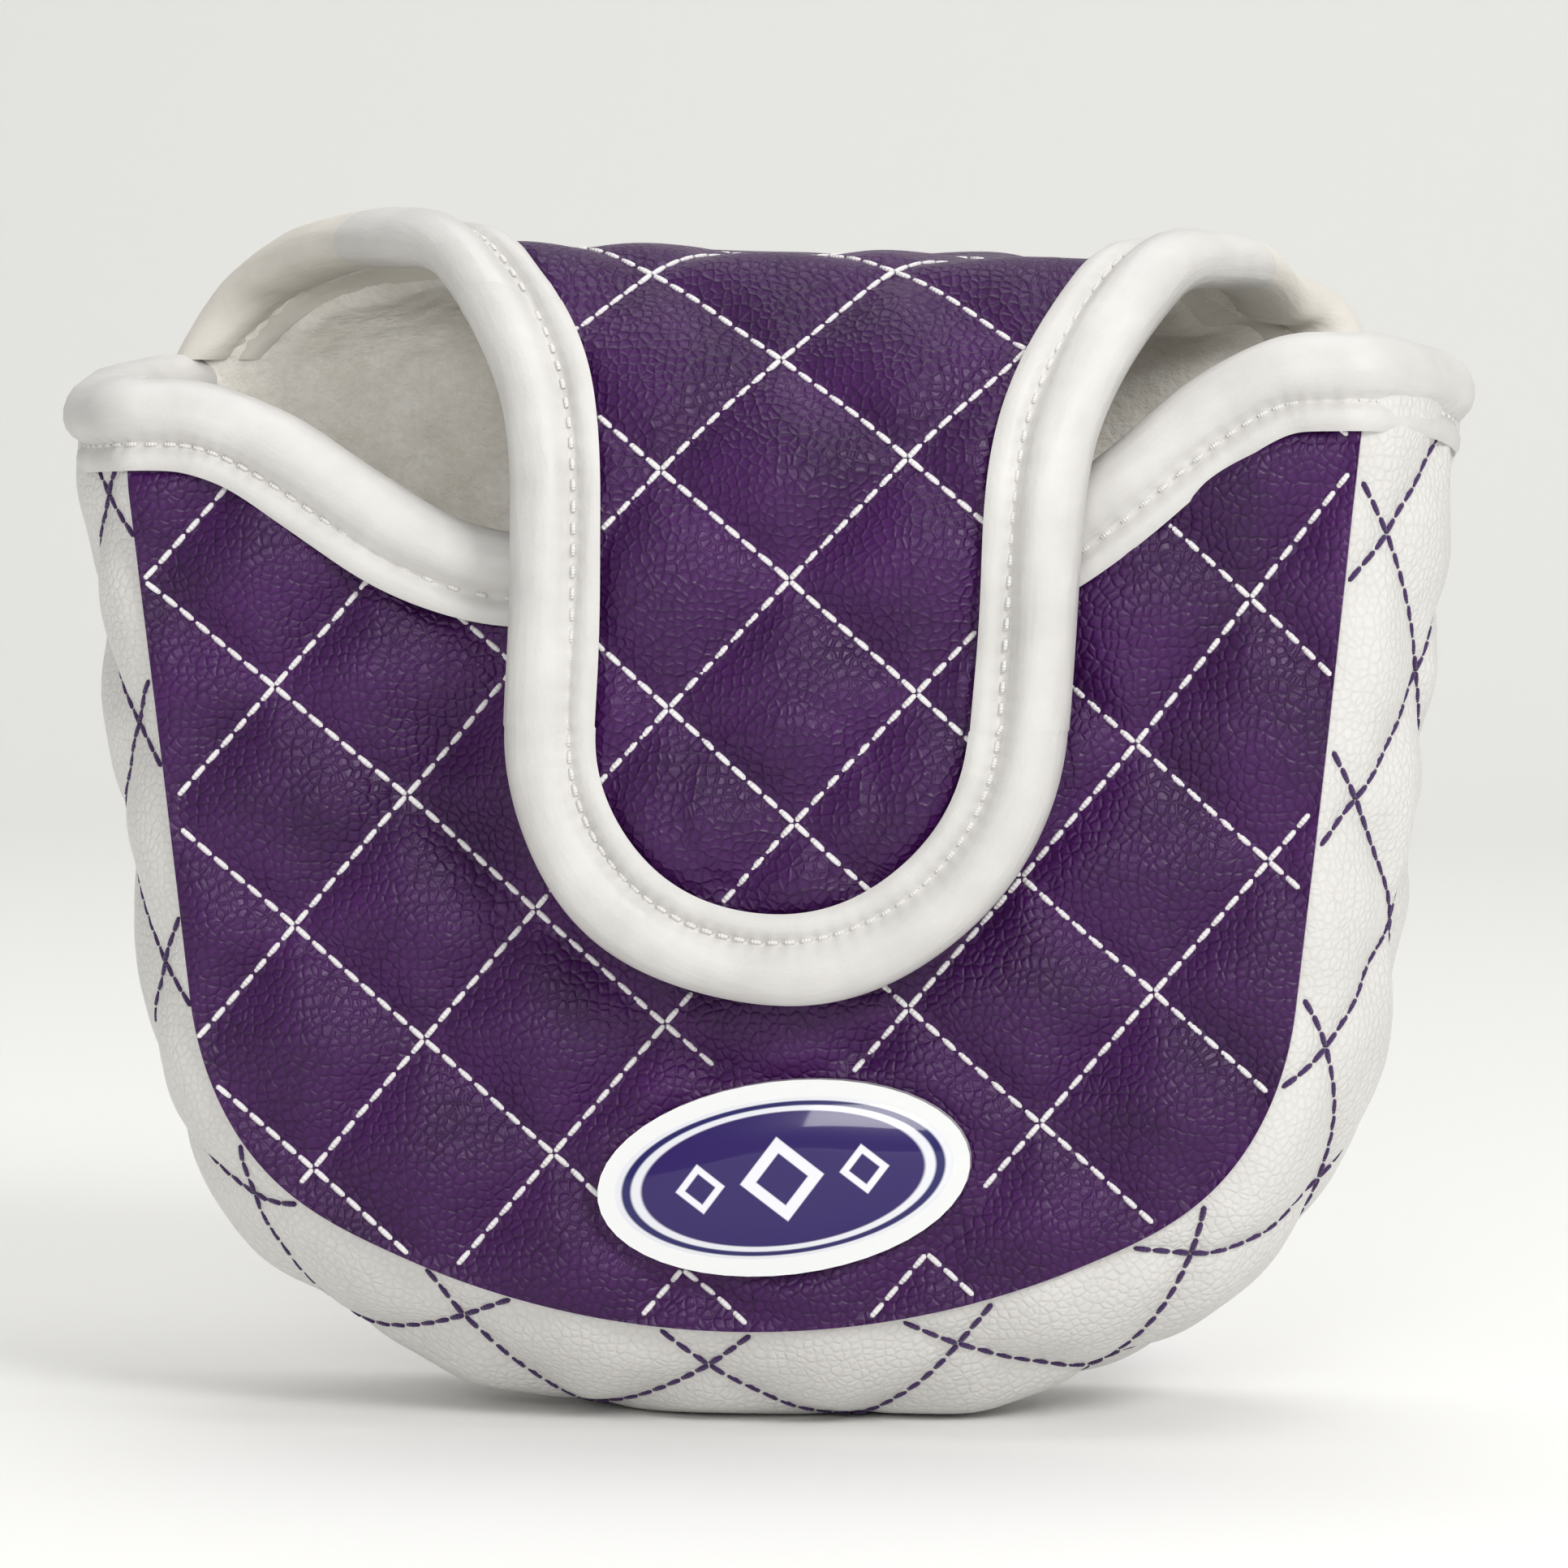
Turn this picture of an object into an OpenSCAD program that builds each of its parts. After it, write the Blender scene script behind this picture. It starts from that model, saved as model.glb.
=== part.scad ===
// Mallet putter head cover: a quilted, padded pocket with a wide gusset, and a
// padded flap that grows out of the back wall, folds over the mouth and is held
// shut by a pair of magnets. The origin is on the floor under the middle of the
// pocket, +Z is up and the front of the cover faces -Y.

/* [Pocket] */
// Width across the front and back panels at the mouth corners
pocket_w = 130; // [108:1:150]
// Depth between the outer faces of the front and back panels
pocket_d = 44; // [36:1:54]
// Height of the gusset's top edge above the floor
shoulder_z = 111; // [92:1:134]
// Outward lean of the side edges, in degrees
side_flare = 6.5; // [3:0.5:9]
// Radius of the panels' lower corners
corner_r = 39; // [32:1:46]
// Radius of the panels' bottom edge
bottom_r = 90; // [78:1:120]
// How far the gusset bulges past the seams
gusset_bulge = 8.5; // [7:0.5:11]
// Height lost where the gusset flattens against the floor
foot_cut = 1.5; // [0.5:0.1:2.5]
// How far the front panel's top edge dips below its corners
mouth_dip = 17.5; // [8:1:22]
// Half width of the level middle of that dip
dip_half = 22; // [10:1:26]

/* [Layers] */
// Thickness of the coated-fabric cover
cover_t = 1; // [0.8:0.1:1.4]
// Thickness of the foam
padding_t = 3; // [2.5:0.1:4]
// Thickness of the plush lining
lining_t = 1.8; // [1.2:0.1:2.6]

/* [Binding] */
// Width of the binding on each face
binding_w = 9.4; // [7:0.2:12]
// Thickness of the binding
binding_t = 1; // [0.8:0.1:1.4]

/* [Fold and flap] */
// Radius of the bend at the back of the fold
rear_r = 13; // [10:1:18]
// Radius of the bend at the front of the fold
front_r = 12; // [10:1:16]
// Degrees turned by that bend
front_bend = 36; // [28:1:44]
// Radius of the long curve that runs down into the flap
drop_r = 37; // [30:1:46]
// Distance in front of the middle where the fold has narrowed to the flap
neck_y = 12; // [8:1:18]
// Width of the flap
flap_w = 60; // [50:1:72]
// How far the flap sits to the right of the middle
flap_off = 5; // [0:0.5:8]
// Height of the flap's tip above the floor
flap_tip_z = 46; // [38:1:56]
// Air between the closed flap and the pocket's binding
flap_gap = 1.2; // [0.5:0.1:2]
// Space between neighbouring links of the fold
link_gap = 0.3; // [0.3:0.05:0.6]

/* [Quilting] */
// Corner-to-corner size of a quilted diamond
diamond = 25.4; // [20:0.2:32]
// Width of a line of stitches
thread_w = 0.7; // [0.5:0.1:1]
// Height of the stitches on the cover
thread_t = 0.3; // [0.2:0.1:0.5]

/* [Closure] */
// Diameter of each magnet
magnet_d = 15; // [12:1:18]
// Thickness of each magnet
magnet_t = 2; // [1.5:0.1:2.4]
// Wall of the plastic cup round each magnet
cup_wall = 0.5; // [0.4:0.1:0.6]
// Height of the magnets above the flap's tip
magnet_rise = 21; // [18:1:28]

/* [Badge] */
// Length of the oval badge
badge_l = 39; // [32:1:47]
// Height of the oval badge
badge_h = 20; // [16:1:24]
// Thickness of the badge's moulded body
badge_t = 1.6; // [1.2:0.1:2.2]
// Thickness of the adhesive film under it
adhesive_t = 0.2; // [0.1:0.1:0.4]
// Width of the badge's raised rim
badge_rim = 1.8; // [1:0.2:2.6]
// Thickness of the coloured inlay
inlay_t = 0.3; // [0.2:0.1:0.5]
// Depth of the badge's recess
recess_t = 0.7; // [0.5:0.1:1]
// Height of the clear dome above the rim
dome_rise = 0.9; // [0.4:0.1:1.6]
// Height of the badge's centre above the floor
badge_z = 27.5; // [25:0.5:32]
// How far the badge sits to the right of the middle
badge_off = 5; // [0:0.5:8]
// Tilt of the badge, in degrees
badge_tilt = 8; // [0:1:12]

/* [Hidden] */
$fn = 64;
LINKS = ["fold_rear", "fold_top", "fold_front", "flap"];
LAYERS = ["cover", "padding", "lining", "binding"];

big = 400;                  // reaches past the whole object
seam_gap = 0.02;            // hairline between neighbouring stretches of the gusset and of the binding
half_d = pocket_d / 2;
flap_half = flap_w / 2;
wall_t = cover_t + padding_t + lining_t;

// Depths of each layer below the outer face, [outer, inner]
cover_span = [0, cover_t];
padding_span = [cover_t, cover_t + padding_t];
lining_span = [cover_t + padding_t, wall_t];
wall_span = [0, wall_t];
wrap_span = [-binding_t, wall_t + binding_t];

purple = "#4b2d5a";
white = "#ece9e4";
lining_white = "#dedbd2";
foam_grey = "#8f9296";
steel = "#b9bcc0";
cup_black = "#2a2b2e";
inlay_purple = "#392460";

// ---- Seam line in front view: bottom arc, corner arcs and leaning sides ----
lean = tan(side_flare);
bottom_cz = gusset_bulge - foot_cut + bottom_r;
side_c = pocket_w / 2 * cos(side_flare) - shoulder_z * sin(side_flare);
corner_k = (side_c - corner_r) / cos(side_flare);
corner_b = corner_k * lean - bottom_cz;
corner_q = pow(corner_k, 2) + pow(bottom_cz, 2) - pow(bottom_r - corner_r, 2);
corner_root = sqrt(pow(corner_b, 2) - (1 + lean * lean) * corner_q);
corner_z = (-corner_b - corner_root) / (1 + lean * lean);
corner_x = corner_k + lean * corner_z;
corner_a = atan2(corner_z - bottom_cz, corner_x);   // heading where the two arcs meet
side_x = corner_x + corner_r * cos(side_flare);
side_z = corner_z - corner_r * sin(side_flare);
side_len = (shoulder_z - side_z) / cos(side_flare);

// ---- Gusset's section: an arc through both seams, bulging outwards ----
gusset_r = (pow(half_d, 2) + pow(gusset_bulge, 2)) / (2 * gusset_bulge);
gusset_cn = gusset_bulge - gusset_r;                 // the arc's centre, measured out from the seam
gap_a = seam_gap / corner_r * 180 / PI;              // the hairline as an angle of the corner arc

// ---- Fold's profile in side view, as [y, z]; its heading turns from 0 to 180 degrees ----
fold_z = shoulder_z + rear_r;
flap_face = half_d + 2 * binding_t + flap_gap + wall_t;    // the closed flap's outer face
front_end = 90 + front_bend;
rear_c = [half_d - rear_r, shoulder_z];
drop_y = drop_r - flap_face;
front_c = [drop_y - (drop_r - front_r) * sin(front_bend), fold_z - front_r];
drop_c = [drop_y, front_c[1] - (drop_r - front_r) * cos(front_bend)];

// Headings at which the fold hinges, each in the middle of its own 45 degrees
cuts = [for (i = [0:3]) 22.5 + 45 * i];
cut_c = [rear_c, rear_c, front_c, drop_c];
tip_reach = 200;            // a heading past the end of the flap

// ---- Front panel's top edge, and its offset upwards by about o along the normal ----
dip_end = pocket_w / 2 - 6;
step = 0.01;
function ease(t) = (1 - cos(180 * max(0, min(1, t)))) / 2;
function mouth_z(x) = shoulder_z - mouth_dip * (1 - ease((abs(x) - dip_half) / (dip_end - dip_half)));
function mouth_m(x) = (mouth_z(x + step) - mouth_z(x - step)) / (2 * step);
function mouth_pt(x, o) = [x, mouth_z(x) + o / cos(atan(mouth_m(x)))];
function mouth_edge(o) = [for (i = [-24:24]) mouth_pt(i / 24 * (dip_end + 2), o)];

// ---- Fold's side edge in top view, and its offset by about o along the normal ----
function fold_x(y) = flap_half + (pocket_w / 2 - flap_half) * ease((y + neck_y) / (half_d + neck_y));
function fold_m(y) = (fold_x(y + step) - fold_x(y - step)) / (2 * step);
function fold_pt(y, o) = [fold_x(y) + o / cos(atan(fold_m(y))), y];
function fold_edge(side, o) = [for (i = [0:20]) let (t = i / 20, y = -neck_y + (half_d + neck_y) * t)
    [flap_off * (1 - ease(t)) + side * fold_pt(y, o)[0], y]];
function reversed(pts) = [for (i = [len(pts) - 1:-1:0]) pts[i]];

// Adds the mirror image of an edge, leaving out points that lie on the middle line
function mirrored(pts) = concat(pts, [for (i = [len(pts) - 1:-1:0]) if (abs(pts[i][0]) > step)
    [-pts[i][0], pts[i][1]]]);

// Oval outline of half axes a and b
function oval(a, b) = [for (i = [0:47]) [a * cos(7.5 * i), b * sin(7.5 * i)]];

// ================= drawing planes =================

// Front view: a drawing's height points up and its thickness points to the front
module front_view() rotate([90, 0, 0]) children();

// Side view: a drawing in [y, z] is carried across the whole width
module side_view() rotate([90, 0, 90]) translate([0, 0, -big / 2]) linear_extrude(big) children();

module half_plane_below(z) translate([-big / 2, z - big]) square(big);

// ================= seam =================

// Carries a section (out from the seam, towards the front) along the straight side
module along_side() translate([side_x + side_len * sin(side_flare), shoulder_z, 0])
    rotate([0, 0, -side_flare]) rotate([90, 0, 0]) linear_extrude(side_len) children();

// Carries it along the whole seam
module along_seam() {
    translate([0, bottom_cz, 0]) rotate(-180 - corner_a)
        rotate_extrude(angle = 180 + 2 * corner_a) translate([bottom_r, 0]) children();
    for (s = [0, 1]) mirror([s, 0, 0]) {
        translate([corner_x, corner_z, 0]) rotate(corner_a + gap_a)
            rotate_extrude(angle = -side_flare - corner_a - 2 * gap_a) translate([corner_r, 0]) children();
        along_side() children();
    }
}

// Panel outline grown by o: half the bottom arc, a corner arc and a leaning side, and their mirror image
function arc_pts(cx, cz, r, a0, a1, n) = [for (i = [0:n]) let (a = a0 + (a1 - a0) * i / n)
    [cx + r * cos(a), cz + r * sin(a)]];
function seam_pts(o, top) = concat(arc_pts(0, bottom_cz, bottom_r + o, -90, corner_a, 12),
    arc_pts(corner_x, corner_z, corner_r + o, corner_a + 2, -side_flare, 24),
    [[side_x + o / cos(side_flare) + (top - side_z) * lean, top]]);
module seam_shape(o) polygon(mirrored(seam_pts(o, shoulder_z + wall_t)));

module below_mouth(o) polygon(concat([[-big, -big], [-big, shoulder_z + o]], mouth_edge(o),
    [[big, shoulder_z + o], [big, -big]]));

// ================= pocket walls =================

// One layer of a flat panel in front view, within the drawing given
module panel_layer(span) translate([0, 0, half_d - span[1]]) linear_extrude(span[1] - span[0])
    intersection() {
        seam_shape(0);
        children();
    }

module front_layer(span) front_view() panel_layer(span) below_mouth(0);

module back_layer(span) {
    mirror([0, 1, 0]) front_view() panel_layer(span) half_plane_below(shoulder_z);
    strip_layer(span, -1);
}

// The gusset's section, filled in up to t below its outer face; its ends butt against the panels' edges
module gusset_sector(t) intersection() {
    reach = half_d - max(t, wall_t);
    translate([gusset_cn, 0]) circle(gusset_r - t, $fn = 96);
    union() {
        translate([0, t - half_d]) square([big, 2 * (half_d - t)]);
        translate([-wall_t, -reach]) square([big, 2 * reach]);
    }
}

// The gusset filled in, t below its outer face and pressed flat t above the floor
module gusset_body(t) intersection() {
    along_seam() gusset_sector(t);
    translate([-big / 2, t, -big / 2]) cube([big, shoulder_z - t, big]);
}

module gusset_layer(span) front_view() difference() {
    gusset_body(span[0]);
    gusset_body(span[1]);
}

module front_cover() color(purple) front_layer(cover_span);
module front_padding() color(foam_grey) difference() {
    front_layer(padding_span);
    pocket_magnet_place() closure_disc(cup_d, cup_t);
}
module front_lining() color(lining_white) front_layer(lining_span);
module gusset_cover() color(white) gusset_layer(cover_span);
module gusset_padding() color(foam_grey) gusset_layer(padding_span);
module gusset_lining() color(lining_white) gusset_layer(lining_span);
module back_cover() color(purple) back_layer(cover_span);
module back_padding() color(foam_grey) back_layer(padding_span);
module back_lining() color(lining_white) back_layer(lining_span);

// Folded tape over the raw top edges of the front panel and the gusset
module mouth_binding() color(white) front_view() {
    difference() {
        union() {
            tape_band(half_d - wall_t, half_d + binding_t, 0);
            tape_band(half_d - wrap_span[1], half_d - wall_t + step, -wall_t);
        }
        translate([0, 0, half_d - wall_t]) linear_extrude(wall_t) below_mouth(0);
    }
    side_stretch(shoulder_z - binding_w, shoulder_z) {
        gusset_ring([-binding_t, 0]);
        gusset_ring([wall_t, wall_t + binding_t]);
    }
    side_stretch(shoulder_z, shoulder_z + binding_t) gusset_ring(wrap_span);
}

// The strip along the mouth edge between two depths, ending at the panel outline grown by o
module tape_band(d0, d1, o) translate([0, 0, d0]) linear_extrude(d1 - d0) intersection() {
    difference() {
        below_mouth(binding_t);
        below_mouth(-binding_w);
    }
    seam_shape(o);
}

// A band of the gusset's section between two depths, outside the seam
module gusset_ring(span) intersection() {
    translate([gusset_cn, 0]) difference() {
        circle(gusset_r - span[0], $fn = 96);
        circle(gusset_r - span[1], $fn = 96);
    }
    translate([seam_gap, -half_d - binding_t]) square([big, pocket_d + 2 * binding_t]);
}

// Both leaning sides between two heights
module side_stretch(z0, z1) for (s = [0, 1]) mirror([s, 0, 0]) intersection() {
    translate([binding_t * lean, binding_t, 0]) along_side() children();
    translate([0, z0, -big / 2]) cube([big, z1 - z0, big]);
}

// ================= fold and flap =================

// A wedge of the side view between two headings about c
module wedge(c, a0, a1) polygon([c, c + big * [cos(a0), sin(a0)],
    c + big * [cos((a0 + a1) / 2), sin((a0 + a1) / 2)], c + big * [cos(a1), sin(a1)]]);

module bend(c, r, span, a0, a1) if (a1 > a0) intersection() {
    translate(c) difference() {
        circle(r - span[0], $fn = 120);
        circle(r - span[1], $fn = 120);
    }
    wedge(c, a0, a1);
}

// One layer of the fold in side view, between two headings
module strip_profile(span, h0, h1) {
    bend(rear_c, rear_r, span, h0, min(h1, 90));
    if (h0 < 90 && h1 > 90) polygon([[front_c[0], fold_z - span[1]], [rear_c[0], fold_z - span[1]],
        [rear_c[0], fold_z - span[0]], [front_c[0], fold_z - span[0]]]);
    bend(front_c, front_r, span, max(h0, 90), min(h1, front_end));
    bend(drop_c, drop_r, span, max(h0, front_end), min(h1, 180));
    if (h1 > 180) translate([-flap_face + span[0], 0]) square([span[1] - span[0], drop_c[1]]);
}

// The slot left open between two links, along the radius of the bend
module link_slot(i) translate(cut_c[i]) rotate(cuts[i]) translate([0, -link_gap / 2])
    square([drop_r + 2 * binding_t, link_gap]);

// The fold's and flap's outline shrunk by o: S-shaped shoulders in top view, a round tip in front view
module strip_outline(o) intersection() {
    translate([0, 0, -big / 2]) linear_extrude(big) union() {
        polygon(concat(fold_edge(1, -o), reversed(fold_edge(-1, -o))));
        translate([flap_off - flap_half + o, -big / 2]) square([flap_w - 2 * o, big / 2 - neck_y + step]);
    }
    front_view() translate([flap_off, 0, -big / 2]) linear_extrude(big) union() {
        translate([0, flap_tip_z + flap_half]) circle(flap_half - o, $fn = 96);
        translate([-flap_half + o, flap_tip_z + flap_half]) square([flap_w - 2 * o, big]);
        translate([-big / 2, drop_c[1]]) square(big);
    }
}

// Link i of the fold: -1 is the stretch on the back panel, 3 is the flap
module strip_part(span, i) side_view() difference() {
    strip_profile(span, i < 0 ? 0 : cuts[i], i > 2 ? tip_reach : cuts[i + 1]);
    if (i >= 0) link_slot(i);
    if (i < 3) link_slot(i + 1);
}

module strip_layer(span, i) intersection() {
    strip_part(span, i);
    strip_outline(binding_t);
}

// Tape folded round a link's two edges
module strip_binding(i) color(white) difference() {
    intersection() {
        strip_part(wrap_span, i);
        strip_outline(0);
    }
    strip_outline(binding_w);
    strip_layer(wall_span, i);
}

module back_binding() strip_binding(-1);

// One of the four layers of link i
module link(i, layer) {
    if (layer == "cover") color(purple) strip_layer(cover_span, i);
    if (layer == "lining") color(lining_white) strip_layer(lining_span, i);
    if (layer == "binding") strip_binding(i);
    if (layer == "padding") color(foam_grey) difference() {
        strip_layer(padding_span, i);
        if (i == 3) flap_magnet_place() closure_disc(cup_d, cup_t);
    }
}

// ================= quilting =================

// Two crossing sets of parallel lines, with a crossing at the drawing's origin
module diamond_lines(reach) for (a = [45, -45]) rotate(a)
    for (k = [-reach:reach]) translate([0, k * diamond / sqrt(2)]) square([big, thread_w], center = true);

module panel_quilting(f) translate([0, 0, f]) linear_extrude(thread_t) intersection() {
    translate([diamond / 5, shoulder_z / 2]) diamond_lines(6);
    children();
}

module front_quilting() color(white) front_view() panel_quilting(half_d) difference() {
    intersection() {
        seam_shape(-thread_w);
        below_mouth(-binding_w - thread_w);
    }
    translate([badge_off, badge_z]) rotate(badge_tilt) polygon(oval(badge_l / 2 + thread_w, badge_h / 2 + thread_w));
}

module back_quilting() color(white) mirror([0, 1, 0]) front_view() panel_quilting(half_d) intersection() {
    seam_shape(-thread_w);
    half_plane_below(shoulder_z - thread_w);
}

module flap_quilting() color(white) front_view() translate([flap_off, 0, flap_face]) linear_extrude(thread_t)
    intersection() {
        translate([0, flap_tip_z + flap_half - binding_w - diamond / 10]) diamond_lines(4);
        half_plane_below(drop_c[1] - thread_w);
        union() {
            edge = flap_half - binding_w - thread_w;
            translate([0, flap_tip_z + flap_half]) circle(edge, $fn = 96);
            translate([-edge, flap_tip_z + flap_half]) square([2 * edge, big]);
        }
    }

// ================= magnets =================
cup_d = magnet_d + 2 * cup_wall;
cup_t = magnet_t + cup_wall;
magnet_z = flap_tip_z + magnet_rise;

module closure_disc(d, t) cylinder(d = d, h = t, $fn = 96);

// Open side of the pocket's cup, against the back of the front cover, looking inwards
module pocket_magnet_place() translate([flap_off, -half_d + cover_t, magnet_z]) rotate([-90, 0, 0]) children();

// Open side of the flap's cup, against the flap's lining, looking outwards
module flap_magnet_place() translate([flap_off, -flap_face + cover_t + padding_t, magnet_z]) rotate([90, 0, 0]) children();

module cup() color(cup_black) difference() {
    closure_disc(cup_d, cup_t);
    closure_disc(magnet_d, magnet_t);
}
module magnet() color(steel) closure_disc(magnet_d, magnet_t);

module pocket_magnet() pocket_magnet_place() magnet();
module pocket_magnet_cup() pocket_magnet_place() cup();
module flap_magnet() flap_magnet_place() magnet();
module flap_magnet_cup() flap_magnet_place() cup();

// ================= badge =================

// Stands on the front cover, its thickness towards the front, rise above the cover's face
module badge_place(rise) front_view() translate([badge_off, badge_z, half_d + rise]) rotate(badge_tilt) children();
module badge_oval(inset, t) linear_extrude(t) polygon(oval(badge_l / 2 - inset, badge_h / 2 - inset));

module badge_adhesive() color(steel) badge_place(0) badge_oval(badge_rim, adhesive_t);
module badge_body() color(white) badge_place(adhesive_t) difference() {
    badge_oval(0, badge_t);
    translate([0, 0, badge_t - recess_t]) badge_oval(badge_rim, badge_t);
}
module badge_inlay() color(inlay_purple) badge_place(adhesive_t + badge_t - recess_t) badge_oval(badge_rim, inlay_t);

// Clear resin filling the rest of the recess and rising as part of a sphere
module badge_dome() color("#e8eef5", 0.4) badge_place(adhesive_t + badge_t - recess_t + inlay_t) intersection() {
    height = recess_t - inlay_t + dome_rise;
    reach = badge_l / 2 - badge_rim;
    ball_r = (pow(reach, 2) + pow(dome_rise, 2)) / (2 * dome_rise);
    badge_oval(badge_rim, height);
    translate([0, 0, height - ball_r]) sphere(ball_r, $fn = 400);
}

// ================= the cover =================
for (i = [0:3]) for (k = LAYERS)
    link(i, k);
front_cover();
front_padding();
front_lining();
front_quilting();
gusset_cover();
gusset_padding();
gusset_lining();
mouth_binding();
back_cover();
back_padding();
back_lining();
back_quilting();
back_binding();
flap_quilting();
flap_magnet();
flap_magnet_cup();
pocket_magnet();
pocket_magnet_cup();
badge_adhesive();
badge_body();
badge_inlay();
badge_dome();
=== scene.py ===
from math import asin, atan2, cos, pi, radians, sin, sqrt, tan

import bpy
import numpy as np
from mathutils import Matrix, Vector


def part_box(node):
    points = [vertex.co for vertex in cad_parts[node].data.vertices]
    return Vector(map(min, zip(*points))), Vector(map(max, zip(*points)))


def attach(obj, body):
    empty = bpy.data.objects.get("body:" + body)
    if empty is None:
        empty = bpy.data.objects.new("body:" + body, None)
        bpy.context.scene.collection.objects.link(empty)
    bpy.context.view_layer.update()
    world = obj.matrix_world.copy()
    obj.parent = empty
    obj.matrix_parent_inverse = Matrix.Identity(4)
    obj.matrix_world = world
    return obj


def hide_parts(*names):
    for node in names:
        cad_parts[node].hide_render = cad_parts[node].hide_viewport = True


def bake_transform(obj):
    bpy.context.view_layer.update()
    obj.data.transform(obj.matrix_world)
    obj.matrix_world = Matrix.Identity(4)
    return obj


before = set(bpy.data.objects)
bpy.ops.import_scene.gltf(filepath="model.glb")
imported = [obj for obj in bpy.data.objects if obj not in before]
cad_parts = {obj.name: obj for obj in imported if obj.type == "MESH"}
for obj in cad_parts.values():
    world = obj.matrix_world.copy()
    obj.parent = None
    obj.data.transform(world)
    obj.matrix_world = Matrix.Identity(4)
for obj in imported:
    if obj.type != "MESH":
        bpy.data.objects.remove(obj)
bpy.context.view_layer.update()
MM = 0.001

# ---------------------------------------------------------------- Table top
# The cover stands on a sheet of pale card that sweeps up behind it, lit by a
# soft box above and to its right, a weaker one in front and a wide one overhead.


def linear(hex_colour):
    """An sRGB colour such as '3e2448' as linear red, green, blue and alpha."""
    srgb = np.array([int(hex_colour[i:i + 2], 16) / 255 for i in (0, 2, 4)])
    return (*np.where(srgb <= 0.04045, srgb / 12.92, ((srgb + 0.055) / 1.055) ** 2.4), 1.0)


def node(tree, kind, settings=None, **inputs):
    """Adds a node with its settings; an input takes a value, or the socket that feeds it."""
    made = tree.nodes.new("ShaderNode" + kind)
    for key, value in (settings or {}).items():
        setattr(made, key, value)
    for key, value in inputs.items():
        numbered = key[0] == "i" and key[1:].isdigit()
        socket = made.inputs[int(key[1:]) if numbered else key.replace("_", " ")]
        if isinstance(value, bpy.types.NodeSocket):
            tree.links.new(value, socket)
        else:
            socket.default_value = value
    return made


def finish_named(name):
    """A new material's node tree and its shader node."""
    material = bpy.data.materials.new(name)
    material.use_nodes = True
    tree = material.node_tree
    return material, tree, tree.nodes["Principled BSDF"]


def as_mesh(name, points, quads, material, uv=None, sharp_ring=None, extra=None):
    """A smooth mesh from an array of points and one of four-cornered faces. uv is a pair per point,
    sharp_ring numbers the points of each hard rim from 1, and extra holds named values per point."""
    mesh = bpy.data.meshes.new(name)
    mesh.vertices.add(len(points))
    mesh.vertices.foreach_set("co", np.ascontiguousarray(points, dtype=np.float32).ravel())
    mesh.loops.add(quads.size)
    mesh.loops.foreach_set("vertex_index", np.ascontiguousarray(quads, dtype=np.int32).ravel())
    mesh.polygons.add(len(quads))
    mesh.polygons.foreach_set("loop_start", np.arange(0, quads.size, 4, dtype=np.int32))
    mesh.update(calc_edges=True)
    mesh.shade_smooth()
    if uv is not None:
        layer = mesh.uv_layers.new(name="cloth")
        layer.data.foreach_set("uv", uv[quads.ravel()].astype(np.float32).ravel())
    if sharp_ring is not None:
        pairs = np.empty(2 * len(mesh.edges), dtype=np.int32)
        mesh.edges.foreach_get("vertices", pairs)
        ring = sharp_ring[pairs.reshape(-1, 2)]
        sharp = mesh.attributes.new("sharp_edge", "BOOLEAN", "EDGE")
        sharp.data.foreach_set("value", (ring[:, 0] > 0) & (ring[:, 0] == ring[:, 1]))
    for key, values in (extra or {}).items():
        held = mesh.attributes.new(key, "FLOAT", "POINT")
        held.data.foreach_set("value", values.astype(np.float32).ravel())
    mesh.materials.append(material)
    made = bpy.data.objects.new(name, mesh)
    bpy.context.scene.collection.objects.link(made)
    return made


def grid_faces(rows, columns, first=0, closed=False):
    """Corner numbers of a grid's faces, its columns joined round if closed."""
    index = first + np.arange(rows * columns).reshape(rows, columns)
    if closed:
        index = np.concatenate([index, index[:, :1]], axis=1)
    return np.stack([index[:-1, :-1], index[:-1, 1:], index[1:, 1:], index[1:, :-1]], axis=-1).reshape(-1, 4)


target = Vector((0.0020, 0, 0.0665))      # what the lens is pointed at
camera_distance = 0.800
camera_azimuth = radians(7.4)
camera_elevation = radians(4.0)
view_width = 0.1658                       # width of the picture at the target
lens = bpy.data.cameras.new("camera")
lens.sensor_width = 36
lens.lens = 36 * camera_distance / view_width
camera = bpy.data.objects.new("camera", lens)
camera.location = target + camera_distance * Vector((
    sin(camera_azimuth) * cos(camera_elevation), -cos(camera_azimuth) * cos(camera_elevation),
    sin(camera_elevation)))
camera.rotation_euler = (target - camera.location).to_track_quat("-Z", "Y").to_euler()
bpy.context.scene.collection.objects.link(camera)
bpy.context.scene.camera = camera
bpy.context.scene.view_settings.view_transform = "Standard"

# Card: level in front, then a quarter circle of radius 0.5 m, then upright.
card_reach, card_bend = 1.6, 0.5
along_card = np.concatenate([[-card_reach], card_reach * 0.5 + card_bend * np.sin(np.linspace(0, pi / 2, 24)),
                             [card_reach * 0.5 + card_bend]])
up_card = np.concatenate([[0], card_bend * (1 - np.cos(np.linspace(0, pi / 2, 24))), [2.2]])
card_x = np.array([-2.5, 2.5])
card_points = np.stack(np.broadcast_arrays(card_x[None, :], along_card[:, None], up_card[:, None]), axis=-1)
card, _, card_shader = finish_named("matt_white_card")
card_shader.inputs["Base Color"].default_value = linear("f2f2f0")
card_shader.inputs["Roughness"].default_value = 0.9
card_shader.inputs["Specular IOR Level"].default_value = 0.2
backdrop = as_mesh("backdrop", card_points.reshape(-1, 3), grid_faces(len(along_card), 2), card)


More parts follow.
